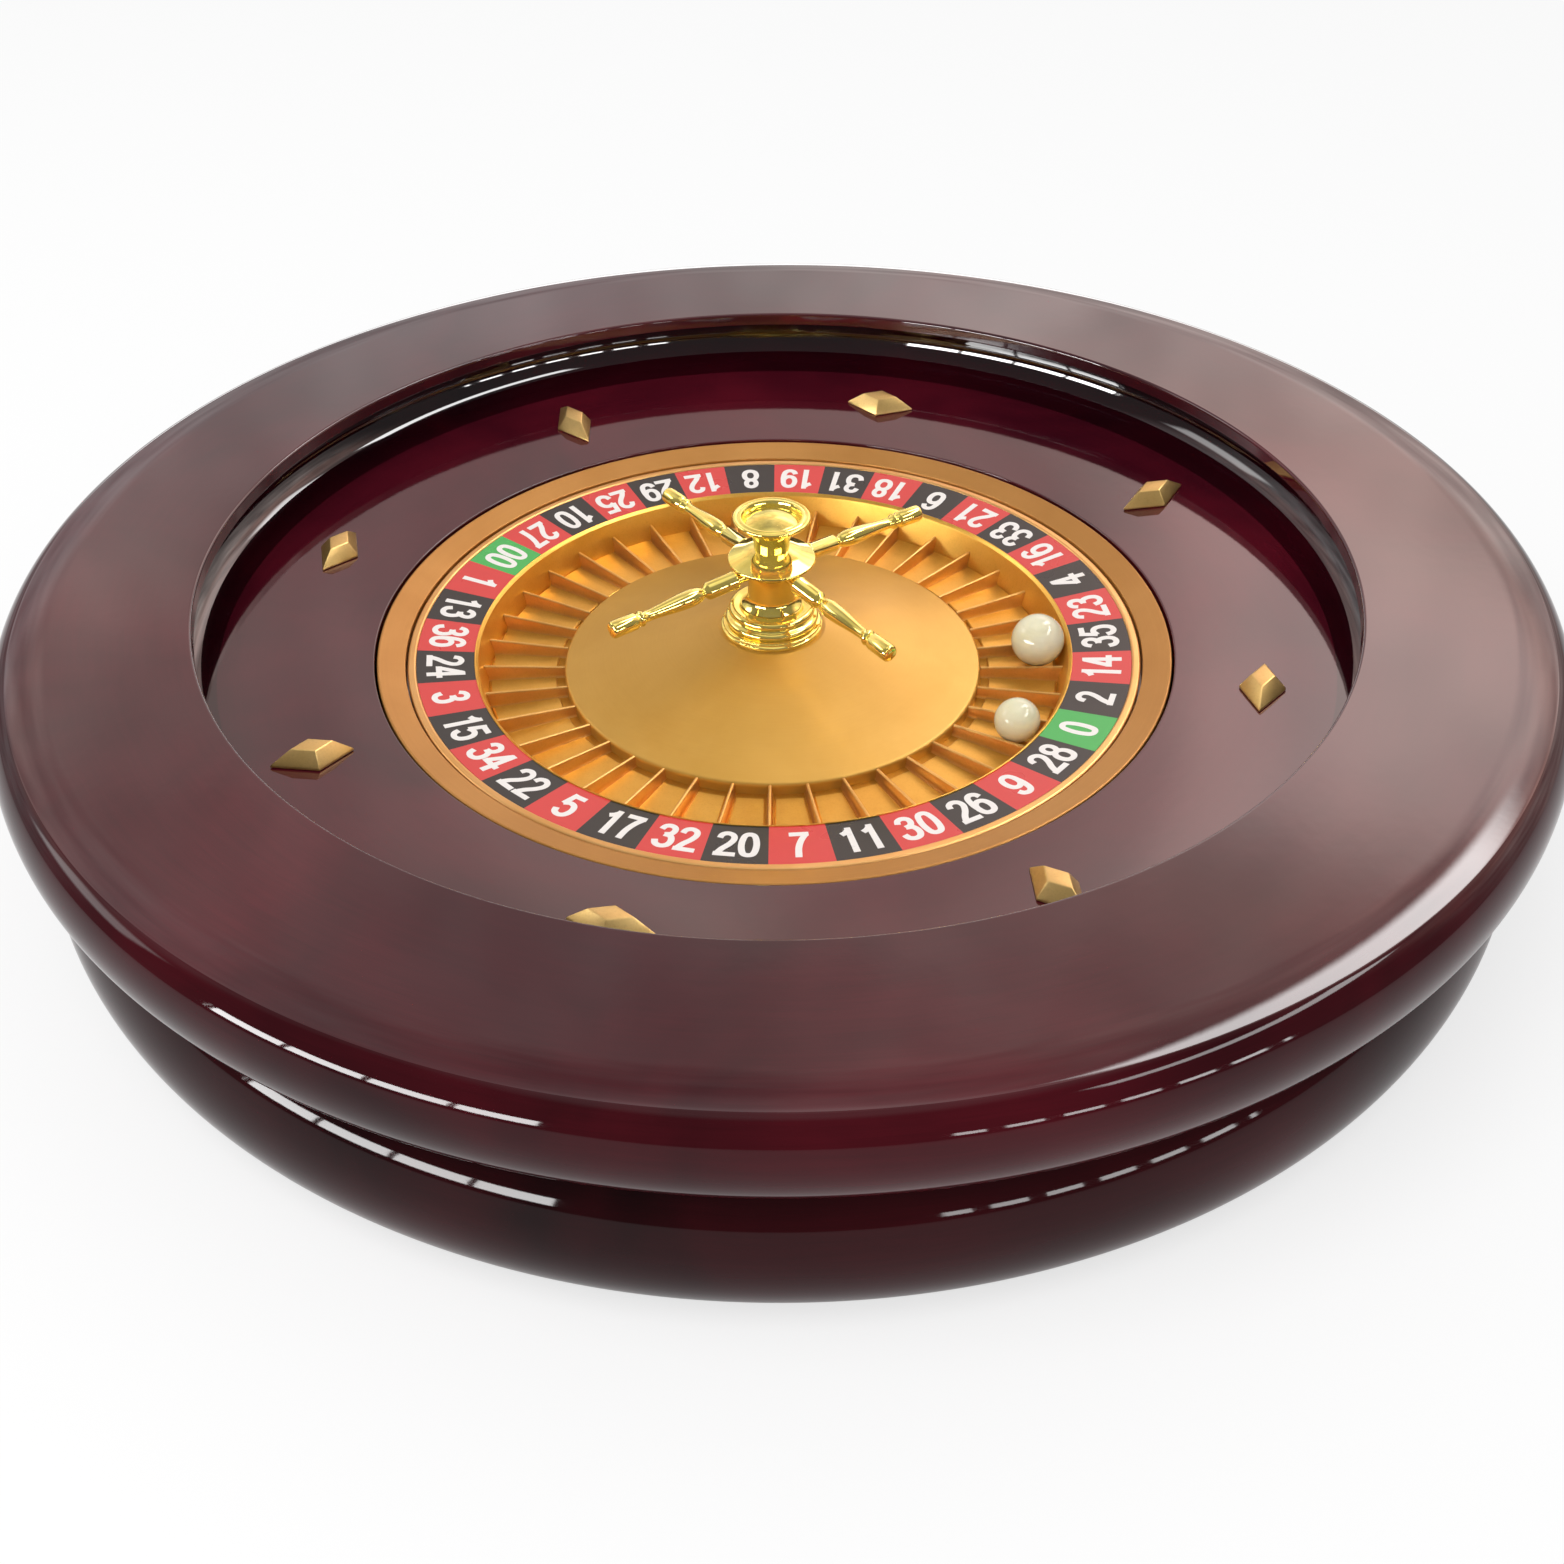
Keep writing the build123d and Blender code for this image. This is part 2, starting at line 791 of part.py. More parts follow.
# Collar: a hub with a tenon hole for each arm, under a wide shallow cone
disc_z = collar_z + collar_hub_height
with BuildPart() as arm_collar:
    with BuildSketch(Plane.XZ):
        with BuildLine():
            Polyline(
                (stud_r, collar_z),
                (collar_hub_r, collar_z),
                (collar_hub_r, disc_z),
                (collar_r - 1.2, disc_z),
                (collar_r, disc_z + 0.5),
                (collar_r, disc_z + collar_rim_height),
                (neck_foot_r, cup_z),
                (stud_r, cup_z),
                close=True,
            )
        make_face()
    revolve(axis=Axis.Z)
    for plane in arm_planes:
        tenon_end = plane.origin + plane.x_dir * (collar_hub_r - arm_tenon)
        with BuildSketch(Plane(origin=tenon_end, z_dir=plane.x_dir)):
            Circle(arm_shank_r)
        extrude(amount=arm_tenon + 1, mode=Mode.SUBTRACT)
keep(arm_collar, "arm_collar")

# Cup: a finial with a dished top on a slim neck
cup_top_z = cup_z + cup_height
neck_top = cup_z + neck_height
edge_z = cup_top_z - cup_edge
stud_top_z = cup_z + neck_height / 2
dish_r = ((cup_r - cup_rim) ** 2 + dish_depth**2) / (2 * dish_depth)
dish_angle = asin((cup_r - cup_rim) / dish_r)
dish_centre_z = cup_top_z - dish_depth + dish_r
with BuildPart() as turret_cup:
    with BuildSketch(Plane.XZ) as section:
        with BuildLine():
            Polyline(
                (0, cup_top_z - dish_depth),
                (0, stud_top_z),
                (stud_r, stud_top_z),
                (stud_r, cup_z),
                (neck_foot_r, cup_z),
                (neck_r_top, neck_top),
            )
            ThreePointArc(
                (neck_r_top, neck_top),
                (neck_r_top + (cup_r - neck_r_top) * 0.35, neck_top + (edge_z - neck_top) * 0.72),
                (cup_r, edge_z),
            )
            Polyline((cup_r, edge_z), (cup_r, cup_top_z), (cup_r - cup_rim, cup_top_z))
            ThreePointArc(
                (cup_r - cup_rim, cup_top_z),
                (dish_r * sin(dish_angle / 2), dish_centre_z - dish_r * cos(dish_angle / 2)),
                (0, cup_top_z - dish_depth),
            )
        make_face()
        fillet(section.vertices().sort_by_distance((cup_r, cup_top_z, 0))[0], 0.7)
    revolve(axis=Axis.Z)
keep(turret_cup, "turret_cup")
with BuildPart() as turret_stud:
    with BuildSketch(Plane.XY.offset(stud_foot_z)):
        Circle(stud_r)
    extrude(amount=stud_top_z - stud_foot_z)
keep(turret_stud, "turret_stud")

# Balls: the large one bridges two frets, the small one drops onto its pocket's pad
fret_edge = ball_seat_r * sin(radians(pocket_angle / 2)) - fret_thick / 2
fret_top = fret_inner_z + (fret_outer_z - fret_inner_z) * (ball_seat_r - cone_r) / (
    wall_radius(fret_outer_z) - cone_r
)
pad_top_z = floor_z + pad_rise


def ball_height(radius):
    """Height of a ball's centre: on the frets' edges, or on the pad where it is small enough."""
    on_frets = fret_top + sqrt(max(radius**2 - fret_edge**2, 0))
    return max(on_frets, pad_top_z + radius) + ball_play


for label, radius, pocket in (
    ("ball_large", large_ball_r, large_ball_pocket),
    ("ball_small", small_ball_r, small_ball_pocket),
):
    turn = radians(pocket_direction(pocket - 0.5))
    centre = (ball_seat_r * cos(turn), ball_seat_r * sin(turn), ball_height(radius))
    with BuildPart() as ball:
        with Locations(centre):
            Sphere(radius)
    keep(ball, label)
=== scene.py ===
from math import acos, atan2, cos, degrees, pi, radians, sin, tan

import bmesh
import bpy
from mathutils import Matrix, Vector


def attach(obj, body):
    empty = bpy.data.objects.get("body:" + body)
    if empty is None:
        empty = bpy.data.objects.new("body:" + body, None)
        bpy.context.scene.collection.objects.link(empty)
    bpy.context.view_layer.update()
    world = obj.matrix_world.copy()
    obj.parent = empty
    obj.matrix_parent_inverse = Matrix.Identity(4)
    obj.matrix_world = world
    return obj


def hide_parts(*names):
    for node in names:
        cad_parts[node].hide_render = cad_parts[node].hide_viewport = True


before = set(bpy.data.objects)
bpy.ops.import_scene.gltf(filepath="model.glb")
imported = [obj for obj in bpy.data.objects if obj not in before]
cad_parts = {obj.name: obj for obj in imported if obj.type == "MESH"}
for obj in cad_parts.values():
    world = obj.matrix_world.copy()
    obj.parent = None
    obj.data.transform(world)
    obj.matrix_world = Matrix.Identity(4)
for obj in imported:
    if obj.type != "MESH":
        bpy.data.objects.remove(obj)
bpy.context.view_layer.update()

MM = 0.001

# ---------------------------------------------------------------- dimensions (millimetres, degrees)
# Rim, groove and lower bowl
RIM_FLAT_R = 244.4
RIM_TOP_Z = 88.0
RIM_UNDER_Z = 57.8
CROWN_R = 234.0
CROWN_DROP = 1.0
CROWN_END = 83.4  # degrees round the nose
CROWN_STEPS = 14
CROWN_GUARD = 0.5  # strip that keeps the crown's shading off the flat
# radius beyond which the rim takes the darker side lacquer: painted shade on the nose
SIDE_SHADE_R = RIM_FLAT_R + 2
LIP_R = 189.7
LIP_Z = 83.0
LIP_ROUND = 1.0
LIP_UNDER_ROUND = 0.5
NOSE = 9.55
NOSE_Z = 72.9
NOSE_HALF = 15.1
NECK_R = 234.0
BULGE_CENTRE_R = 228.8
BULGE_REACH = 18.1
BULGE_Z = 26.7
BULGE_HALF = 24.9
BASE_Z = 2.0
PLATE_R = 190.06
PLATE_GAP = 0.3
PLATE_TOP_Z = 12.0
PLATE_EDGE_ROUND = 0.8
BOWL_LEDGE = 10
PLATE_SEAT_R = PLATE_R + PLATE_GAP
# Ball track, apron and deflectors
TRACK_WALL_R = 200.5
TRACK_COVE = 12.0
TRACK_OUT_R = 206.0
TRACK_IN_R = 186.06
COVE_R = TRACK_WALL_R - TRACK_COVE
COVE_GUARD = 0.4  # the same at both ends of the cove
SLOPE = radians(6.5)
APRON_IN_R = 135.5
APRON_EDGE_Z = 58.4
APRON_UNDER_Z = 50.0
APRON_ROUND = 0.5
DEFLECTOR_RING_R = 163.48
DEFLECTOR_PHASE = 27.1
DEFLECTOR_PITCH = 45
DEFLECTOR_LIFT = 0.1
DEFLECTOR_HALF_LENGTH = 13.5
DEFLECTOR_HALF_WIDTH = 7.3
DEFLECTOR_BEVEL = 0.35
DEFLECTOR_FOOT = 0.8
DEFLECTOR_HEIGHT = 5.4
DEFLECTOR_TOP_SHARE = 0.5  # size of its top to its foot
# Rotor's edge and dial
ROTOR_R = 134.8
ROTOR_Z = 58.0
FLANGE_Z = 50.0
TRIM_IN_R = 125.5
TRIM_DROP = 2.7
BEZEL_R = 124.95
BEZEL_RISE = 0.5
BEZEL_INNER_WIDTH = 6
BEZEL_OUTER_WIDTH = 9
BEZEL_DEPTH = 4.1
DIAL_R = 121.9
DIAL_IN_R = 102.5
DIAL_Z = 54.4
DIAL_IN_Z = 52.6
DIAL_DEPTH = 0.8
NUMERAL_HEIGHT = 12.8
NUMERAL_STROKE = 2.0
NUMERAL_PITCH = 6.9
NUMERAL_LIFT = 0.07
NUMERAL_SINK = 0.05
STROKE_LIFT = 0.012  # a digit's second and third strokes lie over its first
# Pockets
POCKETS = 38
POCKET_PHASE = -16.9
PITCH = 360 / POCKETS
MOUTH_R = 101.2
MOUTH_DROP = 0.6
MOUTH_RISE = 0.45
MOUTH_EDGE_RISE = 0.35
MOUTH_BEAD = 0.3
WALL_FOOT_R = 98.6
WALL_LEAN = 2.6
FLOOR_Z = 40.9
PAN_TOP_Z = 40.0
FRET = 1.1
FRET_OUTER_Z = 46.8
FRET_INNER_Z = 44.8
FRET_END_GAP = 0.01
FRET_END_RISE = 0.6  # over the dial's inner edge, where a fret's end would meet the mouth
FRET_STATIONS = 5
FRET_FOOT = 0.5
FRET_FILLET = 0.12
FRET_SHOULDER = 0.45
FRET_CORNER = 0.14
FRET_ROUND = 0.42
PAD_INNER_GAP = 2.8
PAD_OUTER_GAP = 0.6
PAD_SIDE_GAP = 0.9
# Cone
CONE_R = 72.1
CONE_EDGE_Z = 44.9
CONE_TOP_R = 18.4
CONE_TOP_Z = 58.3
CONE_BORE_R = 10.0
CONE_SEAT_R = 20.0
CONE_SKIRT_R = 69.9
CONE_SHELL = 2.2
# Turret and arms
TURRET_BORE_R = 3.0
COLUMN_Z = 67.7
COLLAR_Z = 79.7
CUP_Z = 88.9
CUP_TOP_Z = 101.09
COLUMN_R = 7.8
COLUMN_TAPER = 0.5
COLUMN_FLARE = 1.9
COLUMN_FLARE_RATE = 3.4  # the flare ends at one part in this of the height
COLLAR_HUB_R = 8.0
COLLAR_SHELF_Z = 84.0
CUP_BORE_R = 5.0
CUP_FOOT_R = 5.95
CUP_BORE_DEPTH = 5.6
CUP_LIP_R = 12.25
CUP_LIP = 0.65
CUP_LIP_DEPTH = 0.8
DOME_EDGE_R = 9.5
DOME_RISE = 2.2
DOME_DROP = 0.05
ARM_PHASE = 33.7
ARM_ROOT_Z = 82.05
ARM_DROOP = 1.4
ARM_TENON = 4.7
ARM_SHANK_R = 1.8
ARM_START = 15.0
ARM_TIP = 63.6
ARM_R = 2.95
ARM_WAIST = 0.62  # share of ARM_R
# Balls, feet and screws
LARGE_BALL = (91.3, -4.29, 52.08)
LARGE_BALL_R = 9.0
SMALL_BALL = (78.25, -47.23, 49.55)
SMALL_BALL_R = 7.5
BALL_TILT = 35
BALL_TILT_AXIS = (0.4, 1, 0.2)
BALL_INSET = 0.01  # keeps the shell within the ball's own size
FOOT_RING_R = 206.06
FOOT_PHASE = 45
SCREW_RING_R = 180
SCREWS = 8
SCREW_LIFT = 0.3
# Facets round the axis
BOWL_SIDES = 480
POCKET_SIDES = 380
TURRET_SIDES = 160
ARM_SIDES = 64
BALL_SIDES = 96
FOOT_SIDES = 72
SCREW_SIDES = 28


def apron_z(r):
    """Height of the apron's slope at a radius."""
    return APRON_EDGE_Z + (r - APRON_IN_R) * tan(SLOPE)


def dial_z(r):
    """Height of the dial's face at a radius."""
    return DIAL_IN_Z + (DIAL_Z - DIAL_IN_Z) * (r - DIAL_IN_R) / (DIAL_R - DIAL_IN_R)


def fret_end_r(z):
    """Radius at which a fret ends at a height, just short of the leaning wall."""
    return WALL_FOOT_R + WALL_LEAN * (z - FLOOR_Z) / (DIAL_IN_Z + FRET_END_RISE - FLOOR_Z)


def spoke_axes(angle):
    """Unit vectors away from the axis and round it, at an angle in degrees."""
    turn = radians(angle)
    return Vector((cos(turn), sin(turn), 0)), Vector((-sin(turn), cos(turn), 0))


# ---------------------------------------------------------------- turned outlines
def arc(centre_r, centre_z, reach_r, reach_z, start, end, steps):
    """Points on an ellipse, from one angle to another in degrees."""
    made = []
    for i in range(steps + 1):
        turn = radians(start + (end - start) * i / steps)
        made.append((centre_r + reach_r * cos(turn), centre_z + reach_z * sin(turn)))
    return made


def eased(outline, steps=6, guard=0.12):
    """The outline with the corners that state a third number rounded by it.

    A narrow strip on each side of a rounding keeps its shading off the flats.
    """
    made = []
    for i, corner in enumerate(outline):
        if len(corner) == 2:
            made.append(corner)
            continue
        here = Vector(corner[:2])
        back = Vector(outline[i - 1][:2]) - here
        on = Vector(outline[(i + 1) % len(outline)][:2]) - here
        room = min(back.length, on.length)
        back.normalize()
        on.normalize()
        half = acos(max(-1.0, min(1.0, back.dot(on)))) / 2
        reach = min(corner[2] / tan(half), room * 0.98)
        size = reach * tan(half)
        middle = here + (back + on).normalized() * (size / sin(half))
        start, end = here + back * reach - middle, here + on * reach - middle
        first = atan2(start.y, start.x)
        sweep = atan2(start.x * end.y - start.y * end.x, start.dot(end))
        beside = min(reach + guard, room * 0.99)
        made.append((here + back * beside)[:])
        for k in range(steps + 1):
            turn = first + sweep * k / steps
            made.append((middle.x + size * cos(turn), middle.y + size * sin(turn)))
        made.append((here + on * beside)[:])
    return made


# ---------------------------------------------------------------- meshes
def placed(name, data):
    """A new object in the scene, at the origin."""
    obj = bpy.data.objects.new(name, data)
    bpy.context.scene.collection.objects.link(obj)
    return obj


def finished(obj, finishes, body, nodes=(), sharp=30):
    """Shading, materials and body of a piece that is in its place, with the parts it replaces hidden."""
    mesh = obj.data
    if sharp:
        mesh.shade_smooth()
        mesh.set_sharp_from_angle(angle=radians(sharp))
    for finish in finishes:
        mesh.materials.append(finish)
    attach(obj, body)
    if nodes:
        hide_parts(*nodes)
    return obj


def piece(name, points, faces, at=None):
    """A mesh object from points in millimetres, turned and placed by a matrix."""
    mesh = bpy.data.meshes.new(name)
    mesh.from_pydata([Vector(p) * MM for p in points], [], faces)
    if at is not None:
        mesh.transform(at)
    work = bmesh.new()
    work.from_mesh(mesh)
    bmesh.ops.recalc_face_normals(work, faces=work.faces)
    work.to_mesh(mesh)
    work.free()
    mesh.update()
    return placed(name, mesh)


def turned(name, outline, around, closed=True, at=None):
    """A mesh turned about Z from an outline; an open one starts and ends on the axis."""
    rows, points, faces = [], [], []
    for r, z in outline:
        if r < 1e-6:
            rows.append([len(points)])
            points.append((0, 0, z))
            continue
        rows.append(range(len(points), len(points) + around))
        for k in range(around):
            turn = 2 * pi * k / around
            points.append((r * cos(turn), r * sin(turn), z))
    following = list(rows[1:]) + [rows[0]] if closed else rows[1:]
    for low, high in zip(rows, following):
        for k in range(around):
            n = (k + 1) % around
            if len(low) == 1 and len(high) > 1:
                faces.append((low[0], high[n], high[k]))
            elif len(high) == 1 and len(low) > 1:
                faces.append((low[k], low[n], high[0]))
            elif len(low) > 1:
                faces.append((low[k], low[n], high[n], high[k]))
    return piece(name, points, faces, at)


def lofted(name, points, row):
    """A closed mesh through rows of points, with the given number of points in each row."""
    faces = [tuple(reversed(range(row))), tuple(range(len(points) - row, len(points)))]
    for low in range(0, len(points) - row, row):
        for k in range(row):
            n = (k + 1) % row
            faces.append((low + k, low + n, low + row + n, low + row + k))
    return piece(name, points, faces)


def chamfered(obj, width, steps=3, angle=30):
    """Rounds a mesh's sharper edges."""
    work = bmesh.new()
    work.from_mesh(obj.data)
    edges = [e for e in work.edges if len(e.link_faces) == 2 and e.calc_face_angle() > radians(angle)]
    rounding = {"offset": width * MM, "segments": steps, "profile": 0.5, "clamp_overlap": True}
    bmesh.ops.bevel(work, geom=edges, affect="EDGES", **rounding)
    work.to_mesh(obj.data)
    work.free()
    return obj


# ---------------------------------------------------------------- node trees
class Nodes:
    """A node tree, with short ways to add to it."""

    def __init__(self, tree):
        self.n = tree.nodes
        self.link = tree.links.new

    def node(self, kind, **settings):
        made = self.n.new(kind)
        for key, value in settings.items():
            setattr(made, key, value)
        return made

    def feed(self, value, socket):
        if isinstance(value, bpy.types.NodeSocket):
            self.link(value, socket)
        else:
            socket.default_value = value

    def fed(self, kind, *values, **settings):
        """The first output of a node whose first inputs are given in order."""
        made = self.node(kind, **settings)
        for value, socket in zip(values, made.inputs):
            self.feed(value, socket)
        return made.outputs[0]

    def maths(self, operation, *values):
        return self.fed("ShaderNodeMath", *values, operation=operation)

    def product(self, *values):
        """All the values multiplied."""
        made = values[0]
        for value in values[1:]:
            made = self.maths("MULTIPLY", made, value)
        return made

    def covered(self, share, under, over):
        """One shader laid over another by a share."""
        return self.fed("ShaderNodeMixShader", share, under, over)

    def parted(self, source):
        """The three parts of a vector."""
        made = self.node("ShaderNodeSeparateXYZ")
        self.link(source, made.inputs[0])
        return made.outputs

    def noise(self, source, scale, detail=3.0, rough=0.5, warp=0.0):
        """An uneven grey pattern, finer as the scale rises."""
        made = self.node("ShaderNodeTexNoise")
        self.link(source, made.inputs["Vector"])
        made.inputs["Scale"].default_value = scale
        made.inputs["Detail"].default_value = detail
        made.inputs["Roughness"].default_value = rough
        made.inputs["Distortion"].default_value = warp
        return made.outputs["Fac"]

    def ramp(self, source, *stops):
        """A colour or grey ramp from (place, colour) pairs in rising order."""
        made = self.node("ShaderNodeValToRGB")
        steps = made.color_ramp.elements
        while len(steps) < len(stops):
            steps.new(0.5)
        for step, (at, colour) in zip(steps, stops):
            step.position = at
            step.color = (*colour, 1) if isinstance(colour, tuple) else (colour, colour, colour, 1)
        self.link(source, made.inputs[0])
        return made.outputs[0]

    def scaled(self, source, low, high, start=0.0, end=1.0, kind="LINEAR"):
        """A value taken from one range, start to end, to another, low to high."""
        made = self.node("ShaderNodeMapRange", interpolation_type=kind)
        self.link(source, made.inputs["Value"])
        for name, value in (("From Min", start), ("From Max", end), ("To Min", low), ("To Max", high)):
            made.inputs[name].default_value = value
        return made.outputs[0]


def ring_tree():
    """Geometry nodes that stand copies of a mesh round the Z axis."""
    tree = bpy.data.node_groups.new("copies_round_axis", "GeometryNodeTree")
    sockets = {}
    for name, kind in (
        ("Geometry", "NodeSocketGeometry"),
        ("Count", "NodeSocketInt"),
        ("Step", "NodeSocketFloat"),
        ("Finish", "NodeSocketMaterial"),
    ):
        sockets[name] = tree.interface.new_socket(name, in_out="INPUT", socket_type=kind).identifier
    tree.interface.new_socket("Geometry", in_out="OUTPUT", socket_type="NodeSocketGeometry")
    ring = Nodes(tree)
    into = ring.node("NodeGroupInput").outputs
    stand = ring.node("GeometryNodePoints")
    copies = ring.node("GeometryNodeInstanceOnPoints")
    paint = ring.node("GeometryNodeSetMaterial")
    turn = ring.maths("MULTIPLY", ring.node("GeometryNodeInputIndex").outputs[0], into["Step"])
    ring.link(into["Count"], stand.inputs["Count"])
    ring.link(stand.outputs[0], copies.inputs["Points"])
    ring.link(into["Geometry"], copies.inputs["Instance"])
    ring.link(ring.fed("ShaderNodeCombineXYZ", 0, 0, turn), copies.inputs["Rotation"])
    ring.link(ring.fed("GeometryNodeRealizeInstances", copies.outputs[0]), paint.inputs["Geometry"])
    ring.link(into["Finish"], paint.inputs["Material"])
    ring.link(paint.outputs[0], ring.node("NodeGroupOutput").inputs[0])
    return tree, sockets


RING, RING_SOCKETS = ring_tree()


def copied(obj, name, count, step, finish):
    """The mesh repeated round the axis, as one plain mesh; the first copy stays where it is."""
    ring = obj.modifiers.new("ring", "NODES")
    ring.node_group = RING
    ring[RING_SOCKETS["Count"]] = count
    ring[RING_SOCKETS["Step"]] = radians(step)
    ring[RING_SOCKETS["Finish"]] = finish
    graph = bpy.context.evaluated_depsgraph_get()
    mesh = bpy.data.meshes.new_from_object(obj.evaluated_get(graph))
    obj.modifiers.clear()
    bpy.data.objects.remove(obj)
    mesh.name = name
    return placed(name, mesh)


# ---------------------------------------------------------------- finishes
class Finish(Nodes):
    """A material with its shader, and the patterns its finish is made of."""

    def __init__(self, name, **settings):
        self.made = bpy.data.materials.new(name)
        self.made.use_nodes = True
        super().__init__(self.made.node_tree)
        self.shader = self.n["Principled BSDF"]
        for key, value in settings.items():
            self.shader.inputs[key.replace("_", " ")].default_value = value
        self.place = self.node("ShaderNodeTexCoord").outputs["Object"]

    def stretched(self, x, y, z, source=None):
        """The place on the object, or another one, scaled along each axis."""
        made = self.node("ShaderNodeMapping")
        self.link(source or self.place, made.inputs["Vector"])
        made.inputs["Scale"].default_value = (x, y, z)
        return made.outputs[0]

    def round_place(self, radius):
        """Arc round the axis at a radius in metres, distance from the axis, and height."""
        x, y, z = self.parted(self.place)
        turn = self.maths("MULTIPLY", self.maths("ARCTAN2", y, x), radius)
        away = self.maths("SQRT", self.maths("ADD", self.product(x, x), self.product(y, y)))
        return self.fed("ShaderNodeCombineXYZ", turn, away, z)

    def mix(self, share, first, second):
        """A colour between two others."""
        made = self.node("ShaderNodeMix", data_type="RGBA")
        self.feed(share, made.inputs["Factor"])
        sockets = [s for s in made.inputs if s.type == "RGBA"]
        for colour, socket in zip((first, second), sockets):
            self.feed((*colour, 1) if isinstance(colour, tuple) else colour, socket)
        return [s for s in made.outputs if s.type == "RGBA"][0]

    def relief(self, source, depth, strength, under=None):
        """Relief of a depth in millimetres, laid over another where one is given."""
        made = self.node("ShaderNodeBump")
        made.inputs["Distance"].default_value = depth * MM
        made.inputs["Strength"].default_value = strength
        self.link(source, made.inputs["Height"])
        if under is not None:
            self.link(under, made.inputs["Normal"])
        return made.outputs[0]

    def paint(self, **sockets):
        """Leads patterns to the shader's sockets, and gives the material."""
        for key, value in sockets.items():
            self.link(value, self.shader.inputs[key.replace("_", " ")])
        return self.made


def darker(colour, share):
    """A colour brought down to a share of itself."""
    return tuple(c * share for c in colour)


def lacquered(name, deep, warm, mottle, gloss, shine):
    """Stained mahogany under a thick gloss: soft dark clouds, faint grain, a slight orange peel."""
    f = Finish(name, IOR=1.5, Specular_IOR_Level=shine)
    ring = f.round_place(0.2)
    clouds = f.noise(f.place, 11.0, 3.0, 0.55, 0.6)
    grain = f.noise(f.stretched(6, 90, 90, ring), 6.0, 4.0, 0.65)
    pores = f.noise(f.stretched(18, 700, 700, ring), 3.0, 2.0, 0.6)
    body = f.mix(f.ramp(clouds, (0.30, 0.0), (0.72, 1.0)), deep, warm)
    body = f.mix(f.ramp(grain, (0.35, 0.0), (0.75, mottle)), body, darker(deep, 0.45))
    body = f.mix(f.ramp(pores, (0.55, 0.0), (0.80, mottle * 0.7)), body, darker(deep, 0.3))
    rough = f.scaled(f.noise(f.place, 34.0, 4.0), gloss * 0.75, gloss * 1.35)
    peel = f.noise(f.place, 230.0, 2.0, 0.5)
    wave = f.noise(f.place, 16.0, 1.0, 0.4)
    bump = f.relief(wave, 0.10, 0.5, f.relief(peel, 0.010, 0.6))
    return f.paint(Base_Color=body, Roughness=rough, Normal=bump)


def spun_metal(name, colour, light, rough, brush, metal, along=0.0, coat=0.0):
    """Metal turned on a lathe: fine rings, cloudy patina and a soft uneven shine."""
    f = Finish(name, Metallic=metal, Anisotropic=along, Coat_Weight=coat, Coat_Roughness=0.35)
    lines = f.noise(f.stretched(2, 2600, 2600, f.round_place(0.05)), 1.0, 3.0, 0.7)
    patina = f.noise(f.place, 26.0, 4.0, 0.6, 0.4)
    body = f.mix(f.ramp(patina, (0.32, 0.0), (0.72, 1.0)), colour, light)
    body = f.mix(f.scaled(lines, 0.0, brush), body, darker(colour, 0.72))
    r = f.maths("ADD", f.scaled(patina, rough * 0.88, rough * 1.1), f.scaled(lines, -0.03, 0.03))
    if along:
        tangent = f.node("ShaderNodeTangent", direction_type="RADIAL", axis="Z")
        f.paint(Tangent=tangent.outputs[0])
    return f.paint(Base_Color=body, Roughness=r, Normal=f.relief(lines, 0.004, brush))


def plated(name, colour, light, rough):
    """Bright plating: nearly a mirror, with faint cast waves and fine specks."""
    f = Finish(name, Metallic=0.85)
    cloud = f.noise(f.place, 120.0, 3.0, 0.5)
    speck = f.noise(f.place, 900.0, 2.0, 0.6)
    body = f.mix(f.ramp(cloud, (0.3, 0.0), (0.7, 1.0)), colour, light)
    body = f.mix(f.ramp(speck, (0.62, 0.0), (0.8, 0.25)), body, darker(colour, 0.6))
    r = f.scaled(cloud, rough * 0.7, rough * 1.5)
    return f.paint(Base_Color=body, Roughness=r, Normal=f.relief(cloud, 0.02, 0.5))


def cast_gold(name, colour, light, dark, rough, grit=1.0):
    """Satin cast metal of pockets and deflectors: a fine sandy skin with darker hollows."""
    f = Finish(name, Metallic=0.85)
    sand = f.noise(f.place, 1500.0, 3.0, 0.6)
    patch = f.noise(f.place, 60.0, 4.0, 0.6)
    body = f.mix(f.ramp(patch, (0.3, 0.0), (0.7, 1.0)), colour, light)
    body = f.mix(f.ramp(sand, (0.50, 0.0), (0.78, 0.30)), body, dark)
    r = f.scaled(sand, rough * 0.85, rough * 1.2)
    return f.paint(Base_Color=body, Roughness=r, Normal=f.relief(sand, 0.02, 0.5 * grit))


def enamel(name, colour, spread=0.12, rough=0.28):
    """Screen-printed enamel: an even colour with a slight mottle and a soft shine."""
    f = Finish(name, IOR=1.48)
    mottle = f.noise(f.place, 420.0, 3.0, 0.6)
    wear = f.noise(f.place, 40.0, 3.0, 0.5)
    body = f.mix(f.scaled(mottle, 0.0, spread * 2), colour, darker(colour, 0.75))
    body = f.mix(f.scaled(wear, 0.0, spread), body, tuple(min(1.0, c * 1.3 + 0.01) for c in colour))
    r = f.scaled(wear, rough * 0.8, rough * 1.25)
    return f.paint(Base_Color=body, Roughness=r, Normal=f.relief(mottle, 0.004, 0.4))


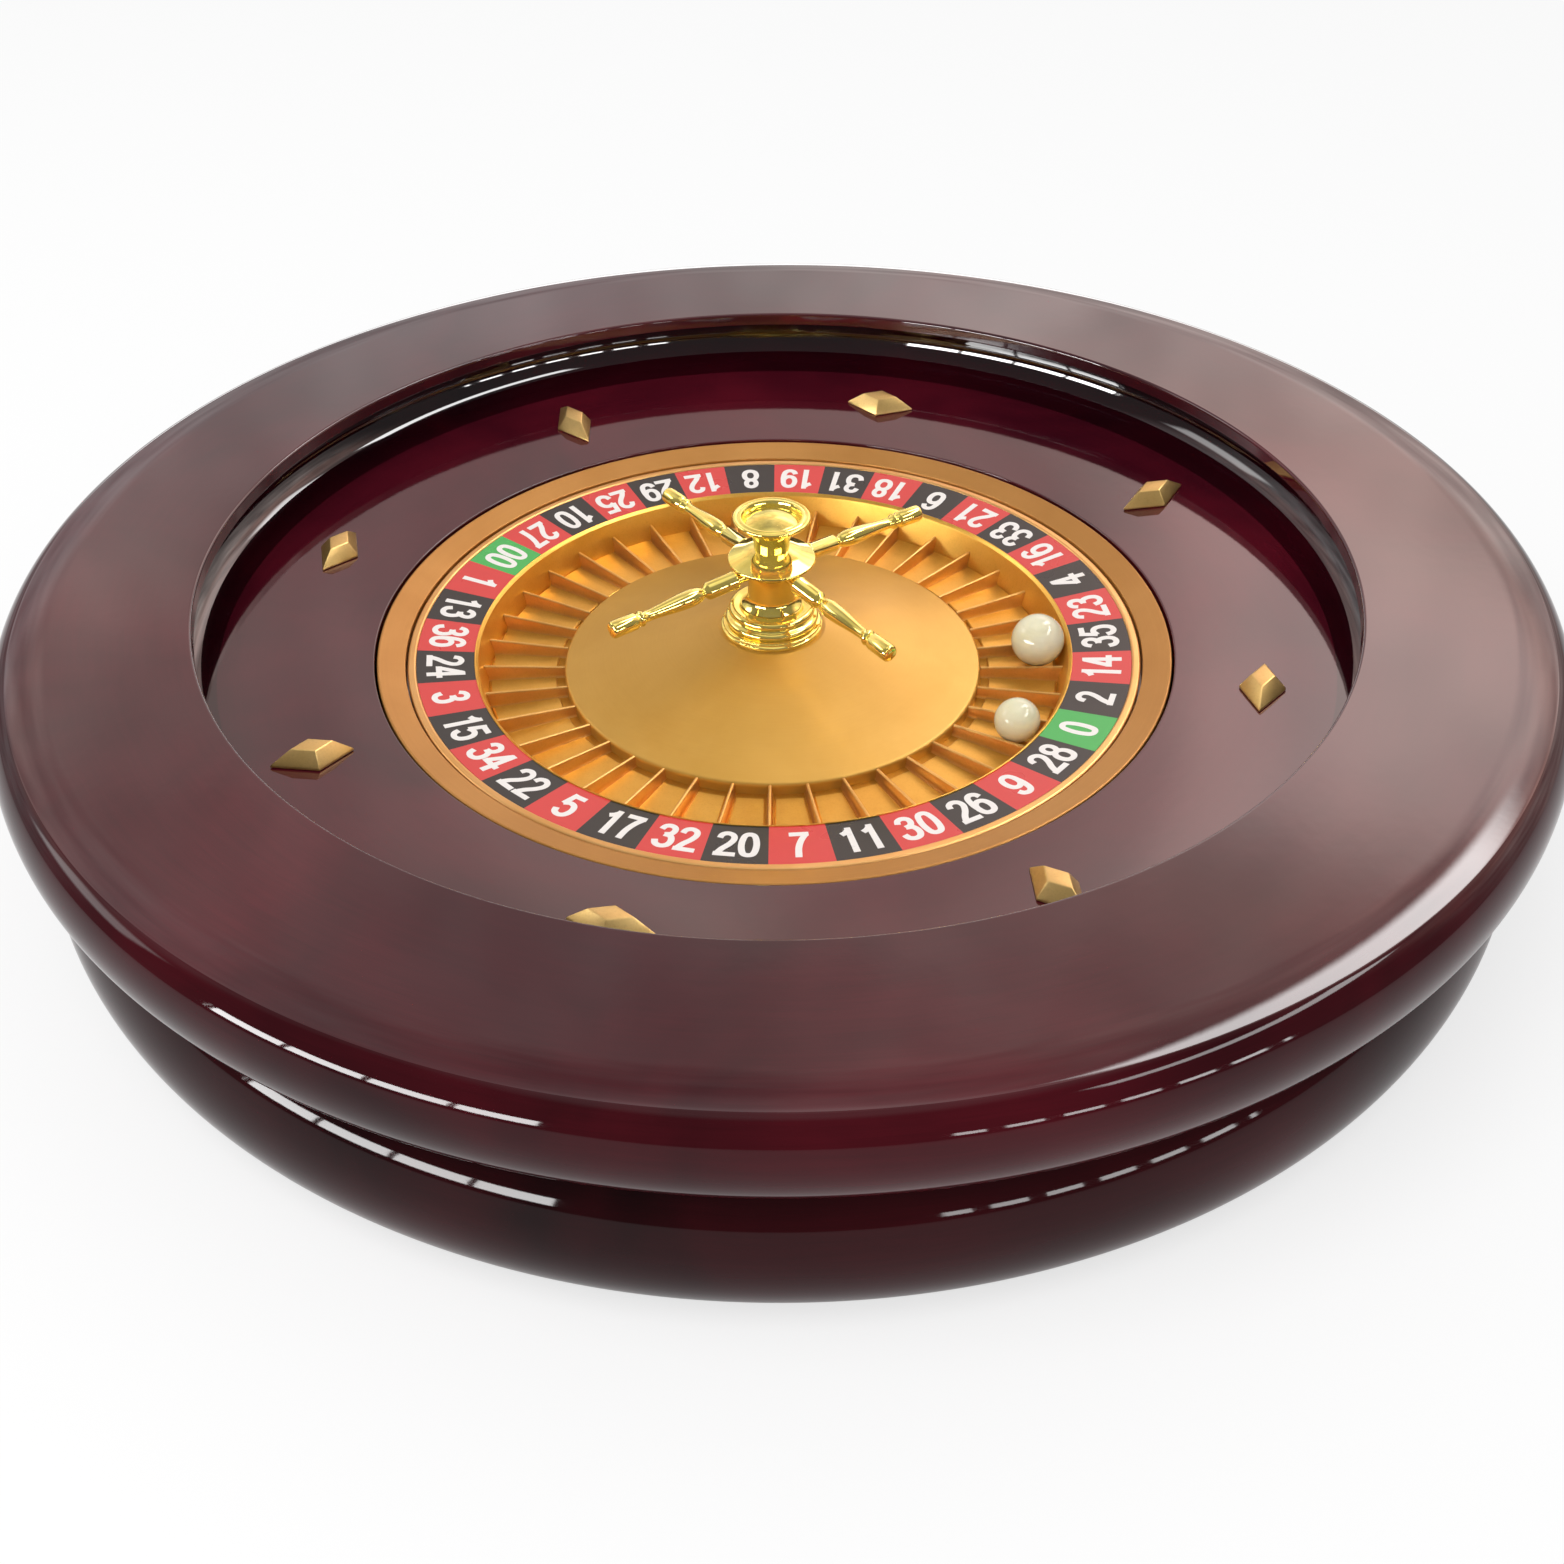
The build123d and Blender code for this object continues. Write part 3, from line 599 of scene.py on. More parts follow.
def ivory():
    """Polished ball material: milky, with faint layers and a few darker specks."""
    f = Finish("ball_ivory", IOR=1.52, Subsurface_Weight=0.15, Subsurface_Radius=(0.004, 0.003, 0.002))
    cloud = f.noise(f.place, 90.0, 4.0, 0.6)
    layers = f.noise(f.stretched(1, 1, 7), 120.0, 3.0, 0.6, 0.5)
    speck = f.noise(f.place, 1300.0, 2.0, 0.6)
    body = f.mix(f.ramp(cloud, (0.3, 0.0), (0.7, 1.0)), (0.75, 0.70, 0.46), (0.81, 0.76, 0.57))
    body = f.mix(f.ramp(layers, (0.45, 0.0), (0.75, 0.25)), body, (0.62, 0.56, 0.38))
    body = f.mix(f.ramp(speck, (0.66, 0.0), (0.78, 0.35)), body, (0.40, 0.33, 0.20))
    return f.paint(Base_Color=body, Roughness=f.scaled(cloud, 0.08, 0.20))


def board():
    """Sealed ply under the bowl: long brown grain and fine dark flecks."""
    f = Finish("sealed_board", IOR=1.45)
    grain = f.noise(f.stretched(4, 60, 60), 4.0, 6.0, 0.65, 0.5)
    fleck = f.noise(f.stretched(30, 700, 700), 1.0, 3.0, 0.6)
    body = f.mix(f.ramp(grain, (0.3, 0.0), (0.7, 1.0)), (0.17, 0.09, 0.055), (0.29, 0.17, 0.10))
    body = f.mix(f.ramp(fleck, (0.6, 0.0), (0.75, 0.6)), body, (0.07, 0.035, 0.02))
    return f.paint(Base_Color=body, Roughness=f.scaled(grain, 0.45, 0.62), Normal=f.relief(grain, 0.08, 0.5))


def rubber():
    """Black rubber of the feet, dusty and matt."""
    f = Finish("foot_rubber", IOR=1.5)
    grit = f.noise(f.place, 900.0, 4.0, 0.7)
    body = f.mix(grit, (0.012, 0.012, 0.012), (0.035, 0.034, 0.033))
    return f.paint(Base_Color=body, Roughness=f.scaled(grit, 0.6, 0.85), Normal=f.relief(grit, 0.05, 0.6))


def steel(name, colour, rough):
    """Turned and ground metal of the bearings, spindle and screws: fine rings round the axis."""
    f = Finish(name, Metallic=1.0)
    lines = f.noise(f.stretched(1, 2200, 900, f.round_place(0.05)), 1.0, 3.0, 0.7)
    body = f.mix(f.scaled(lines, 0.0, 0.5), colour, darker(colour, 0.7))
    r = f.scaled(lines, rough * 0.7, rough * 1.4)
    return f.paint(Base_Color=body, Roughness=r, Normal=f.relief(lines, 0.006, 0.6))


RIM_LACQUER = lacquered("rim_lacquer", (0.026, 0.0028, 0.005), (0.082, 0.007, 0.012), 0.22, 0.045, 0.65)
# Darker copy of the rim's lacquer for the nose, which faces away from the light: painted shade.
SIDE_LACQUER_SHADED = lacquered("side_lacquer_painted_shade", (0.016, 0.0012, 0.0025), (0.060, 0.003, 0.007), 0.2, 0.04, 0.20)
# Darker still for the lower bowl under the nose: painted shade.
LOWER_LACQUER_SHADED = lacquered("lower_lacquer_painted_shade", (0.008, 0.0010, 0.0016), (0.042, 0.0026, 0.0050), 0.2, 0.04, 0.16)
# Near-black copy of the lacquer for the ball track's wall and cove: painted shade in the recess under the
# lip.
TRACK_LACQUER_SHADED = lacquered("track_lacquer_painted_shade", (0.008, 0.0010, 0.0025), (0.030, 0.0015, 0.0045), 0.2, 0.04, 0.7)
APRON_LACQUER = lacquered("apron_lacquer", (0.026, 0.002, 0.006), (0.085, 0.005, 0.012), 0.2, 0.05, 0.72)
TRIM_GOLD = spun_metal("trim_copper_gold", (0.465, 0.213, 0.046), (0.54, 0.262, 0.067), 0.42, 0.35, 0.55)
BEAD_GOLD = spun_metal("bead_copper_gold", (0.74, 0.40, 0.125), (0.83, 0.49, 0.19), 0.34, 0.2, 0.8)
CONE_GOLD = spun_metal(
    "spun_cone_gold", (0.58, 0.315, 0.050), (0.66, 0.375, 0.075), 0.42, 0.2, 0.6, along=0.6, coat=0.15
)
PLATED_GOLD = plated("bright_gold", (0.92, 0.72, 0.16), (0.98, 0.80, 0.23), 0.06)
# The pockets' cast gold comes in lighter and darker copies of one gold. The floor is darkest, painted shade
# down in the pockets; the pads and frets lie between.
POCKET_GOLD_SHADED = cast_gold("pocket_gold_painted_shade", (0.56, 0.27, 0.035), (0.68, 0.35, 0.055), (0.40, 0.18, 0.02), 0.40)
# The back wall and mouth take the brightest copy: painted light on the wall inside the pockets' shade.
MOUTH_GOLD_LIT = cast_gold("mouth_gold_painted_light", (0.88, 0.50, 0.085), (0.96, 0.58, 0.12), (0.62, 0.33, 0.05), 0.34)
PAD_GOLD = cast_gold("pad_gold", (0.68, 0.36, 0.060), (0.78, 0.45, 0.09), (0.54, 0.28, 0.04), 0.38)
FRET_GOLD = cast_gold("fret_gold", (0.72, 0.40, 0.11), (0.82, 0.48, 0.15), (0.5, 0.26, 0.06), 0.34, 0.6)
BRASS = cast_gold("deflector_brass", (0.62, 0.40, 0.13), (0.76, 0.52, 0.20), (0.42, 0.25, 0.07), 0.36)
RED = enamel("dial_red", (0.66, 0.050, 0.045))
BLACK = enamel("dial_black", (0.020, 0.019, 0.016))
GREEN = enamel("dial_green", (0.060, 0.42, 0.090))
WHITE = enamel("numeral_white", (0.86, 0.81, 0.77), 0.04)
IVORY = ivory()
BOARD = board()
RUBBER = rubber()
STEEL = steel("ground_steel", (0.55, 0.55, 0.56), 0.28)
ALLOY = steel("turned_alloy", (0.60, 0.60, 0.61), 0.40)

# ---------------------------------------------------------------- bowl
nose_top = arc(RIM_FLAT_R, NOSE_Z, NOSE, NOSE_HALF - CROWN_DROP, 0, CROWN_END, 32)
shoulder_r, shoulder_z = nose_top[-1]
crown = []
for k in range(CROWN_STEPS - 1, -1, -1):
    fall = (RIM_TOP_Z - shoulder_z) * (k / CROWN_STEPS) ** 2
    crown.append((CROWN_R + (shoulder_r - CROWN_R) * k / CROWN_STEPS, RIM_TOP_Z - fall))
lip = eased(
    [
        (CROWN_R - CROWN_GUARD, RIM_TOP_Z),
        (LIP_R, RIM_TOP_Z, LIP_ROUND),
        (LIP_R, LIP_Z, LIP_UNDER_ROUND),
        (TRACK_OUT_R, LIP_Z),
    ],
    8,
)
rim = turned(
    "rim",
    [(TRACK_OUT_R, RIM_UNDER_Z)]
    + arc(RIM_FLAT_R, NOSE_Z, NOSE, NOSE_HALF, -90, 0, 30)[:-1]
    + nose_top
    + crown
    + lip,
    BOWL_SIDES,
)
# Faces out on the nose take the darker side lacquer: painted shade.
for face in rim.data.polygons:
    face.material_index = int(Vector(face.center[:2]).length > SIDE_SHADE_R * MM)
finished(rim, [RIM_LACQUER, SIDE_LACQUER_SHADED], "bowl", ("rim_top", "rim_ring"))

cove_z = apron_z(COVE_R) + TRACK_COVE / cos(SLOPE)
cove_end_r = COVE_R + TRACK_COVE * sin(SLOPE) - COVE_GUARD
track = turned(
    "ball_track_lining",
    [
        (TRACK_IN_R, apron_z(TRACK_IN_R)),
        (TRACK_IN_R, RIM_UNDER_Z),
        (TRACK_OUT_R, RIM_UNDER_Z),
        (TRACK_OUT_R, LIP_Z),
        (TRACK_WALL_R, LIP_Z),
        (TRACK_WALL_R, cove_z + COVE_GUARD),
    ]
    + arc(COVE_R, cove_z, TRACK_COVE, TRACK_COVE, 0, degrees(SLOPE) - 90, 36)
    + [(cove_end_r, apron_z(cove_end_r))],
    BOWL_SIDES,
)
# The track takes the near-black copy of the lacquer: painted shade.
finished(track, [TRACK_LACQUER_SHADED], "bowl", ("ball_track", "track_wall"))

apron_outline = [
    (APRON_IN_R, APRON_UNDER_Z),
    (TRACK_IN_R, APRON_UNDER_Z),
    (TRACK_IN_R, apron_z(TRACK_IN_R)),
    (APRON_IN_R, APRON_EDGE_Z, APRON_ROUND),
]
apron = turned("apron_ring", eased(apron_outline), BOWL_SIDES)
finished(apron, [APRON_LACQUER], "bowl", ("apron",))

neck_angle = degrees(acos((NECK_R - BULGE_CENTRE_R) / BULGE_REACH))
foot_angle = degrees(acos((BASE_Z - BULGE_Z) / BULGE_HALF)) - 90
plate_seat = eased(
    [(PLATE_SEAT_R, PLATE_TOP_Z), (PLATE_SEAT_R, BASE_Z, PLATE_EDGE_ROUND), (BULGE_CENTRE_R, BASE_Z)]
)
lower_bowl = turned(
    "lower_bowl",
    arc(BULGE_CENTRE_R, BULGE_Z, BULGE_REACH, BULGE_HALF, -foot_angle, neck_angle, 56)
    + [
        (NECK_R, RIM_UNDER_Z),
        (TRACK_IN_R, RIM_UNDER_Z),
        (TRACK_IN_R, APRON_UNDER_Z),
        (TRACK_IN_R - BOWL_LEDGE, APRON_UNDER_Z),
        (TRACK_IN_R - BOWL_LEDGE, PLATE_TOP_Z),
    ]
    + plate_seat[:-1],
    BOWL_SIDES,
)
# The lower bowl takes the darkest copy of the side lacquer: painted shade.
finished(lower_bowl, [LOWER_LACQUER_SHADED], "bowl", ("bowl_body",))

# Deflectors: every other one stands across the ball's path
for first, name in ((0, "upright_deflectors"), (1, "level_deflectors")):
    outward, across = spoke_axes(DEFLECTOR_PHASE + first * DEFLECTOR_PITCH)
    uphill = outward * cos(SLOPE) + Vector((0, 0, sin(SLOPE)))
    seat = outward * DEFLECTOR_RING_R + Vector((0, 0, apron_z(DEFLECTOR_RING_R) + DEFLECTOR_LIFT))
    out = uphill.cross(across)
    long_axis = uphill if first == 0 else across
    wide_axis = out.cross(long_axis)
    tips = [long_axis * DEFLECTOR_HALF_LENGTH, wide_axis * DEFLECTOR_HALF_WIDTH]
    tips += [-tips[0], -tips[1]]
    levels = ((0.0, 1.0), (DEFLECTOR_FOOT, 1.0), (DEFLECTOR_HEIGHT, DEFLECTOR_TOP_SHARE))
    points = [seat + tip * share + out * height for height, share in levels for tip in tips]
    diamond = chamfered(lofted(name, points, 4), DEFLECTOR_BEVEL)
    made = copied(diamond, name, 4, 2 * DEFLECTOR_PITCH, BRASS)
    finished(made, (), "bowl", [f"deflector_{n}" for n in range(first + 1, 9, 2)], 20)

# ---------------------------------------------------------------- rotor
trim_outline = [
    (TRIM_IN_R, FLANGE_Z),
    (ROTOR_R, FLANGE_Z),
    (ROTOR_R, ROTOR_Z, 0.6),
    (TRIM_IN_R, ROTOR_Z - TRIM_DROP, 0.4),
]
trim = turned("trim_band", eased(trim_outline), BOWL_SIDES)
finished(trim, [TRIM_GOLD], "rotor", ("trim_ring",))
bezel_outline = [
    (DIAL_IN_R, DIAL_IN_Z - BEZEL_DEPTH),
    (DIAL_IN_R + BEZEL_INNER_WIDTH, DIAL_IN_Z - BEZEL_DEPTH),
    (BEZEL_R - BEZEL_OUTER_WIDTH, FLANGE_Z),
    (BEZEL_R, FLANGE_Z),
    (BEZEL_R, DIAL_Z + BEZEL_RISE, 1.0),
    (DIAL_R, DIAL_Z + BEZEL_RISE, 0.9),
    (DIAL_R, DIAL_Z - DIAL_DEPTH),
    (DIAL_IN_R, DIAL_IN_Z - DIAL_DEPTH),
]
bead = turned("dial_bead", eased(bezel_outline, 8), BOWL_SIDES)
finished(bead, [BEAD_GOLD], "rotor", ("bezel_ring",))

# Dial: 38 enamelled fields, and a number in each with its top towards the middle
NUMBERS = (
    "2 0 28 9 26 30 11 7 20 32 17 5 22 34 15 3 24 36 13 1 "
    "00 27 10 25 29 12 8 19 31 18 6 21 33 16 4 23 35 14"
).split()
FIELD_STEPS = 8
field_section = (
    (DIAL_IN_R, DIAL_IN_Z - DIAL_DEPTH),
    (DIAL_R, DIAL_Z - DIAL_DEPTH),
    (DIAL_R, DIAL_Z),
    (DIAL_IN_R, DIAL_IN_Z),
)
points, faces, colours = [], [], []
around = POCKETS * FIELD_STEPS
for k in range(around):
    turn = radians(POCKET_PHASE - k * PITCH / FIELD_STEPS)
    points += [(r * cos(turn), r * sin(turn), z) for r, z in field_section]
    n = (k + 1) % around
    cell = k // FIELD_STEPS
    for a in range(4):
        b = (a + 1) % 4
        faces.append((k * 4 + a, k * 4 + b, n * 4 + b, n * 4 + a))
        colours.append(2 if NUMBERS[cell] in ("0", "00") else cell % 2)
fields = piece("number_fields", points, faces)
for face, colour in zip(fields.data.polygons, colours):
    face.material_index = colour
finished(fields, [BLACK, RED, GREEN], "rotor", ("number_dial",))

# Centre lines of the digits in units of half a digit's height, with top and bottom strokes at 1 and -1
DIGITS = {
    "0": (
        [(0, 1), (0.30, 0.80), (0.42, 0), (0.30, -0.80), (0, -1)]
        + [(-0.30, -0.80), (-0.42, 0), (-0.30, 0.80), (0, 1)],
    ),
    "1": ([(0.12, -1.2), (0.12, 1.2)], [(0.12, 1.0), (-0.10, 0.72), (-0.36, 0.56)]),
    "2": (
        [(-0.42, 0.52), (-0.32, 0.85), (0, 1), (0.33, 0.83), (0.40, 0.46)]
        + [(0.20, 0.0), (-0.16, -0.5), (-0.38, -0.98)],
        [(-0.58, -1), (0.60, -1)],
    ),
    "3": (
        [(-0.42, 0.56), (-0.30, 0.88), (0, 1), (0.30, 0.85), (0.36, 0.54), (0.22, 0.24), (-0.12, 0.12)],
        [(-0.12, 0.12), (0.28, 0.02), (0.43, -0.42), (0.32, -0.84), (0, -1), (-0.32, -0.86), (-0.46, -0.50)],
    ),
    "4": ([(0.20, -1.2), (0.20, 1.2)], [(0.14, 1.1), (-0.46, -0.42)], [(-0.62, -0.42), (0.62, -0.42)]),
    "5": (
        [(0.50, 1), (-0.36, 1)],
        [(-0.26, 1.2), (-0.42, 0.06)],
        [(-0.44, 0.08), (-0.06, 0.28), (0.30, 0.12), (0.43, -0.34)]
        + [(0.31, -0.82), (0, -1), (-0.32, -0.86), (-0.46, -0.52)],
    ),
    "6": (
        [(0.42, 0.58), (0.30, 0.88), (0, 1), (-0.30, 0.78), (-0.43, 0.1), (-0.40, -0.5)],
        [(-0.42, -0.36), (-0.30, 0.06), (0.02, 0.24), (0.32, 0.08), (0.43, -0.38)]
        + [(0.31, -0.84), (0, -1), (-0.31, -0.84), (-0.42, -0.36)],
    ),
    "7": ([(-0.56, 1), (0.60, 1)], [(0.44, 1.0), (0.12, 0.42), (-0.08, -0.3), (-0.14, -1.2)]),
    "8": (
        [(0, 1), (0.28, 0.86), (0.36, 0.55), (0.26, 0.26), (0, 0.13)]
        + [(-0.26, 0.26), (-0.36, 0.55), (-0.28, 0.86), (0, 1)],
        [(0, 0.13), (0.32, -0.04), (0.43, -0.44), (0.31, -0.86), (0, -1)]
        + [(-0.31, -0.86), (-0.43, -0.44), (-0.32, -0.04), (0, 0.13)],
    ),
}
DIGITS["9"] = tuple([(-x, -y) for x, y in line] for line in DIGITS["6"])


def looped(line):
    """Whether a line ends where it starts."""
    return (Vector(line[0]) - Vector(line[-1])).length < 1e-6


def flowing(line, steps=5):
    """A smooth line through a digit's points; a line of two points stays straight."""
    whole = [Vector(p) for p in line]
    if len(whole) == 2:
        return whole
    before = whole[-2] if looped(line) else whole[0] * 2 - whole[1]
    after = whole[1] if looped(line) else whole[-1] * 2 - whole[-2]
    knots = [before] + whole + [after]
    made = []
    for a, b, c, d in zip(knots, knots[1:], knots[2:], knots[3:]):
        for k in range(steps):
            t = k / steps
            bend = (2 * a - 5 * b + 4 * c - d) * t**2
            twist = (3 * b - a - 3 * c + d) * t**3
            made.append(0.5 * (2 * b + (c - a) * t + bend + twist))
    return made + [whole[-1]]


def painted(line, half):
    """Left and right edges of a brush stroke of even width along a line."""
    edges = []
    last = len(line) - 1
    start, end = line[1] - line[0], line[-1] - line[-2]
    if looped(line):
        start, end = end, start
    for i, p in enumerate(line):
        back = p - line[i - 1] if i else start
        on = line[i + 1] - p if i < last else end
        way = (back.normalized() + on.normalized()).normalized()
        side = Vector((-way.y, way.x)) * half
        edges.append((p + side, p - side))
    return edges


points, faces = [], []
label_r = (DIAL_R + DIAL_IN_R) / 2
scale = (NUMERAL_HEIGHT - NUMERAL_STROKE) / 2
for cell, text in enumerate(NUMBERS):
    middle = radians(POCKET_PHASE - (cell + 0.5) * PITCH)
    for place, digit in enumerate(text):
        shift = (place - (len(text) - 1) / 2) * NUMERAL_PITCH
        for layer, line in enumerate(DIGITS[digit]):
            start = len(points)
            for left, right in painted([p * scale for p in flowing(line)], NUMERAL_STROKE / 2):
                for lift in (NUMERAL_LIFT + layer * STROKE_LIFT, -NUMERAL_SINK):
                    for x, y in (left, right):
                        r = label_r - y
                        turn = middle + (x + shift) / label_r
                        points.append((r * cos(turn), r * sin(turn), dial_z(r) + lift))
            for k in range(start, len(points) - 4, 4):
                faces += [(k, k + 1, k + 5, k + 4), (k + 2, k + 6, k + 7, k + 3)]
                faces += [(k, k + 4, k + 6, k + 2), (k + 1, k + 3, k + 7, k + 5)]
            if not looped(line):
                faces += [(start, start + 2, start + 3, start + 1)]
                faces += [tuple(len(points) - n for n in (4, 3, 1, 2))]
numbers = piece("dial_numerals", points, faces)
finished(numbers, [WHITE], "rotor", sharp=None)

# Pockets: leaning wall, floor, frets and the raised pad in each
wall_outline = [
    (WALL_FOOT_R, FLOOR_Z),
    (DIAL_IN_R, FLOOR_Z),
    (DIAL_IN_R, DIAL_IN_Z + MOUTH_EDGE_RISE, 0.25),
    (DIAL_IN_R - MOUTH_BEAD, DIAL_IN_Z + MOUTH_RISE, 0.2),
    (MOUTH_R, DIAL_IN_Z - MOUTH_DROP, 0.5),
]
wall = turned("pocket_back_wall", eased(wall_outline), POCKET_SIDES)
# The back wall takes the lightened copy of the pockets' gold: painted light.
finished(wall, [MOUTH_GOLD_LIT], "rotor", ("pocket_wall",))
ground_outline = [(CONE_R, PAN_TOP_Z), (DIAL_IN_R, PAN_TOP_Z), (DIAL_IN_R, FLOOR_Z), (CONE_R, FLOOR_Z)]
ground = turned("pocket_ground", ground_outline, POCKET_SIDES)
# The pocket floor takes the darkest copy of the pockets' gold: painted shade.
finished(ground, [POCKET_GOLD_SHADED], "rotor", ("pocket_floor",))

half = FRET / 2
along, aside = spoke_axes(POCKET_PHASE)
points = []
for k in range(FRET_STATIONS):
    share = k / (FRET_STATIONS - 1)
    top = FRET_INNER_Z + (FRET_OUTER_Z - FRET_INNER_Z) * share
    side = [
        (half + FRET_FOOT, FLOOR_Z),
        (half + FRET_FILLET, FLOOR_Z + FRET_FOOT),
        (half, FLOOR_Z + 2 * FRET_FOOT),
        (half, top - FRET_SHOULDER),
        (half - FRET_CORNER, top - FRET_CORNER),
        (half - FRET_ROUND, top),
    ]
    for y, z in side + [(-y, z) for y, z in reversed(side)]:
        r = CONE_R + (fret_end_r(z) - FRET_END_GAP - CONE_R) * share
        points.append(along * r + aside * y + Vector((0, 0, z)))
frets = copied(lofted("fret", points, 12), "pocket_fret_ring", POCKETS, -PITCH, FRET_GOLD)
finished(frets, (), "rotor", ("pocket_frets",), 40)

along, aside = spoke_axes(POCKET_PHASE - PITCH / 2)
spread = tan(radians(PITCH / 2))
points = []
for height, inset in ((0.0, 0.0), (0.55, 0.1), (0.9, 0.5)):
    for r, way in ((CONE_R + PAD_INNER_GAP + inset, -1), (WALL_FOOT_R - PAD_OUTER_GAP - inset, 1)):
        side = (r * spread - half - PAD_SIDE_GAP - inset) * way
        points += [along * r + aside * y + Vector((0, 0, FLOOR_Z + height)) for y in (side, -side)]
pads = copied(lofted("pad", points, 4), "pocket_pad_ring", POCKETS, -PITCH, PAD_GOLD)
finished(pads, (), "rotor", ("pocket_pads",), 25)

cone_fall = (CONE_TOP_Z - CONE_EDGE_Z) / (CONE_R - CONE_TOP_R)
cone_outline = [
    (CONE_BORE_R, CONE_TOP_Z - CONE_SHELL),
    (CONE_SEAT_R, CONE_TOP_Z - CONE_SHELL),
    (CONE_SKIRT_R, CONE_TOP_Z - (CONE_SKIRT_R - CONE_TOP_R) * cone_fall - CONE_SHELL),
    (CONE_SKIRT_R, PAN_TOP_Z),
    (CONE_R, PAN_TOP_Z),
    (CONE_R, CONE_EDGE_Z, 1.4),
    (CONE_TOP_R, CONE_TOP_Z, 3.0),
    (CONE_BORE_R, CONE_TOP_Z),
]
cone = turned("cone_cover", eased(cone_outline, 8), BOWL_SIDES)
finished(cone, [CONE_GOLD], "rotor", ("rotor_cone",))

# ---------------------------------------------------------------- turret
FOOT_FLANGE = [
    (TURRET_BORE_R, CONE_TOP_Z),
    (17.1, CONE_TOP_Z),
    (17.4, 58.6),
    (17.4, 59.7, 0.5),
    (16.8, 60.1),
    (16.7, 60.8, 0.4),
    (15.6, 61.1),
]
FOOT_NECK = [(12.6, 67.1), (11.0, 66.9), (10.9, 67.5), (TURRET_BORE_R, 67.5)]
# Beads of the foot: centre radius and height, reach outwards and upwards, and the angles between
lower_bead = arc(14.2, 62.5, 1.7, 1.4, -65, 75, 14)
upper_bead = arc(13.2, 65.7, 1.5, 1.5, -55, 85, 14)
base = turned(
    "turret_foot",
    eased(FOOT_FLANGE, 5) + lower_bead + [(14.3, 64.1)] + upper_bead + FOOT_NECK,
    TURRET_SIDES,
)
finished(base, [PLATED_GOLD], "rotor", ("turret_base",))


def waisted(share):
    """Radius of the column at a share of its height: wide foot, waist, narrower top."""
    flare = 1 - min(share * COLUMN_FLARE_RATE, 1)
    return COLUMN_R + COLUMN_TAPER * (1 - share) + COLUMN_FLARE * flare**2


column_side = [(waisted(k / 16), COLUMN_Z + (COLLAR_Z - COLUMN_Z) * k / 16) for k in range(17)]
column = turned(
    "turret_column_shell",
    [(TURRET_BORE_R, COLUMN_Z)] + column_side + [(TURRET_BORE_R, COLLAR_Z)],
    TURRET_SIDES,
)
finished(column, [PLATED_GOLD], "rotor", ("turret_column",))

# Collar: the hub that the arms enter, under a round shelf that slopes up to the cup
collar_outline = [
    (TURRET_BORE_R, COLLAR_Z),
    (COLLAR_HUB_R, COLLAR_Z, 0.4),
    (COLLAR_HUB_R, COLLAR_SHELF_Z),
    (13.4, COLLAR_SHELF_Z, 0.3),
    (14.8, COLLAR_SHELF_Z + 0.5, 0.3),
    (14.6, COLLAR_SHELF_Z + 1.3, 0.3),
    (10.2, COLLAR_SHELF_Z + 3.1),
    (CUP_FOOT_R, CUP_Z),
    (TURRET_BORE_R, CUP_Z),
]
collar = turned("arm_hub", eased(collar_outline, 4), TURRET_SIDES)
finished(collar, [PLATED_GOLD], "rotor", ("arm_collar",))

# Cup: outside as radius and height over its foot, inside as radius and depth under its top
CUP_OUTSIDE = (
    (CUP_FOOT_R, 0.0), (6.0, 1.2), (6.25, 3.0), (6.7, 4.8), (7.5, 6.7), (8.3, 7.9),
    (9.3, 8.9), (10.5, 9.7), (11.7, 10.3), (12.4, 10.5),
)
CUP_INSIDE = ((11.5, 0.35), (11.1, 0.1), (10.6, 0.0), (10.1, 0.1), (9.8, 0.5), (9.6, 1.6), (DOME_EDGE_R, 2.3))
dome_r = (DOME_EDGE_R**2 + DOME_RISE**2) / (2 * DOME_RISE)
dome_top = CUP_TOP_Z - DOME_DROP
dome_angle = degrees(acos(1 - DOME_RISE / dome_r))
cup = turned(
    "turret_bowl",
    [(0, CUP_TOP_Z - CUP_BORE_DEPTH), (CUP_BORE_R, CUP_Z)]
    + [(r, CUP_Z + height) for r, height in CUP_OUTSIDE]
    + arc(CUP_LIP_R, CUP_TOP_Z - CUP_LIP_DEPTH, CUP_LIP, CUP_LIP, -60, 90, 10)
    + [(r, CUP_TOP_Z - depth) for r, depth in CUP_INSIDE]
    + arc(0, dome_top - dome_r, dome_r, dome_r, 90 - dome_angle, 90, 20)[:-1]
    + [(0, dome_top)],
    TURRET_SIDES,
    closed=False,
)
finished(cup, [PLATED_GOLD], "rotor", ("turret_cup", "turret_stud"))

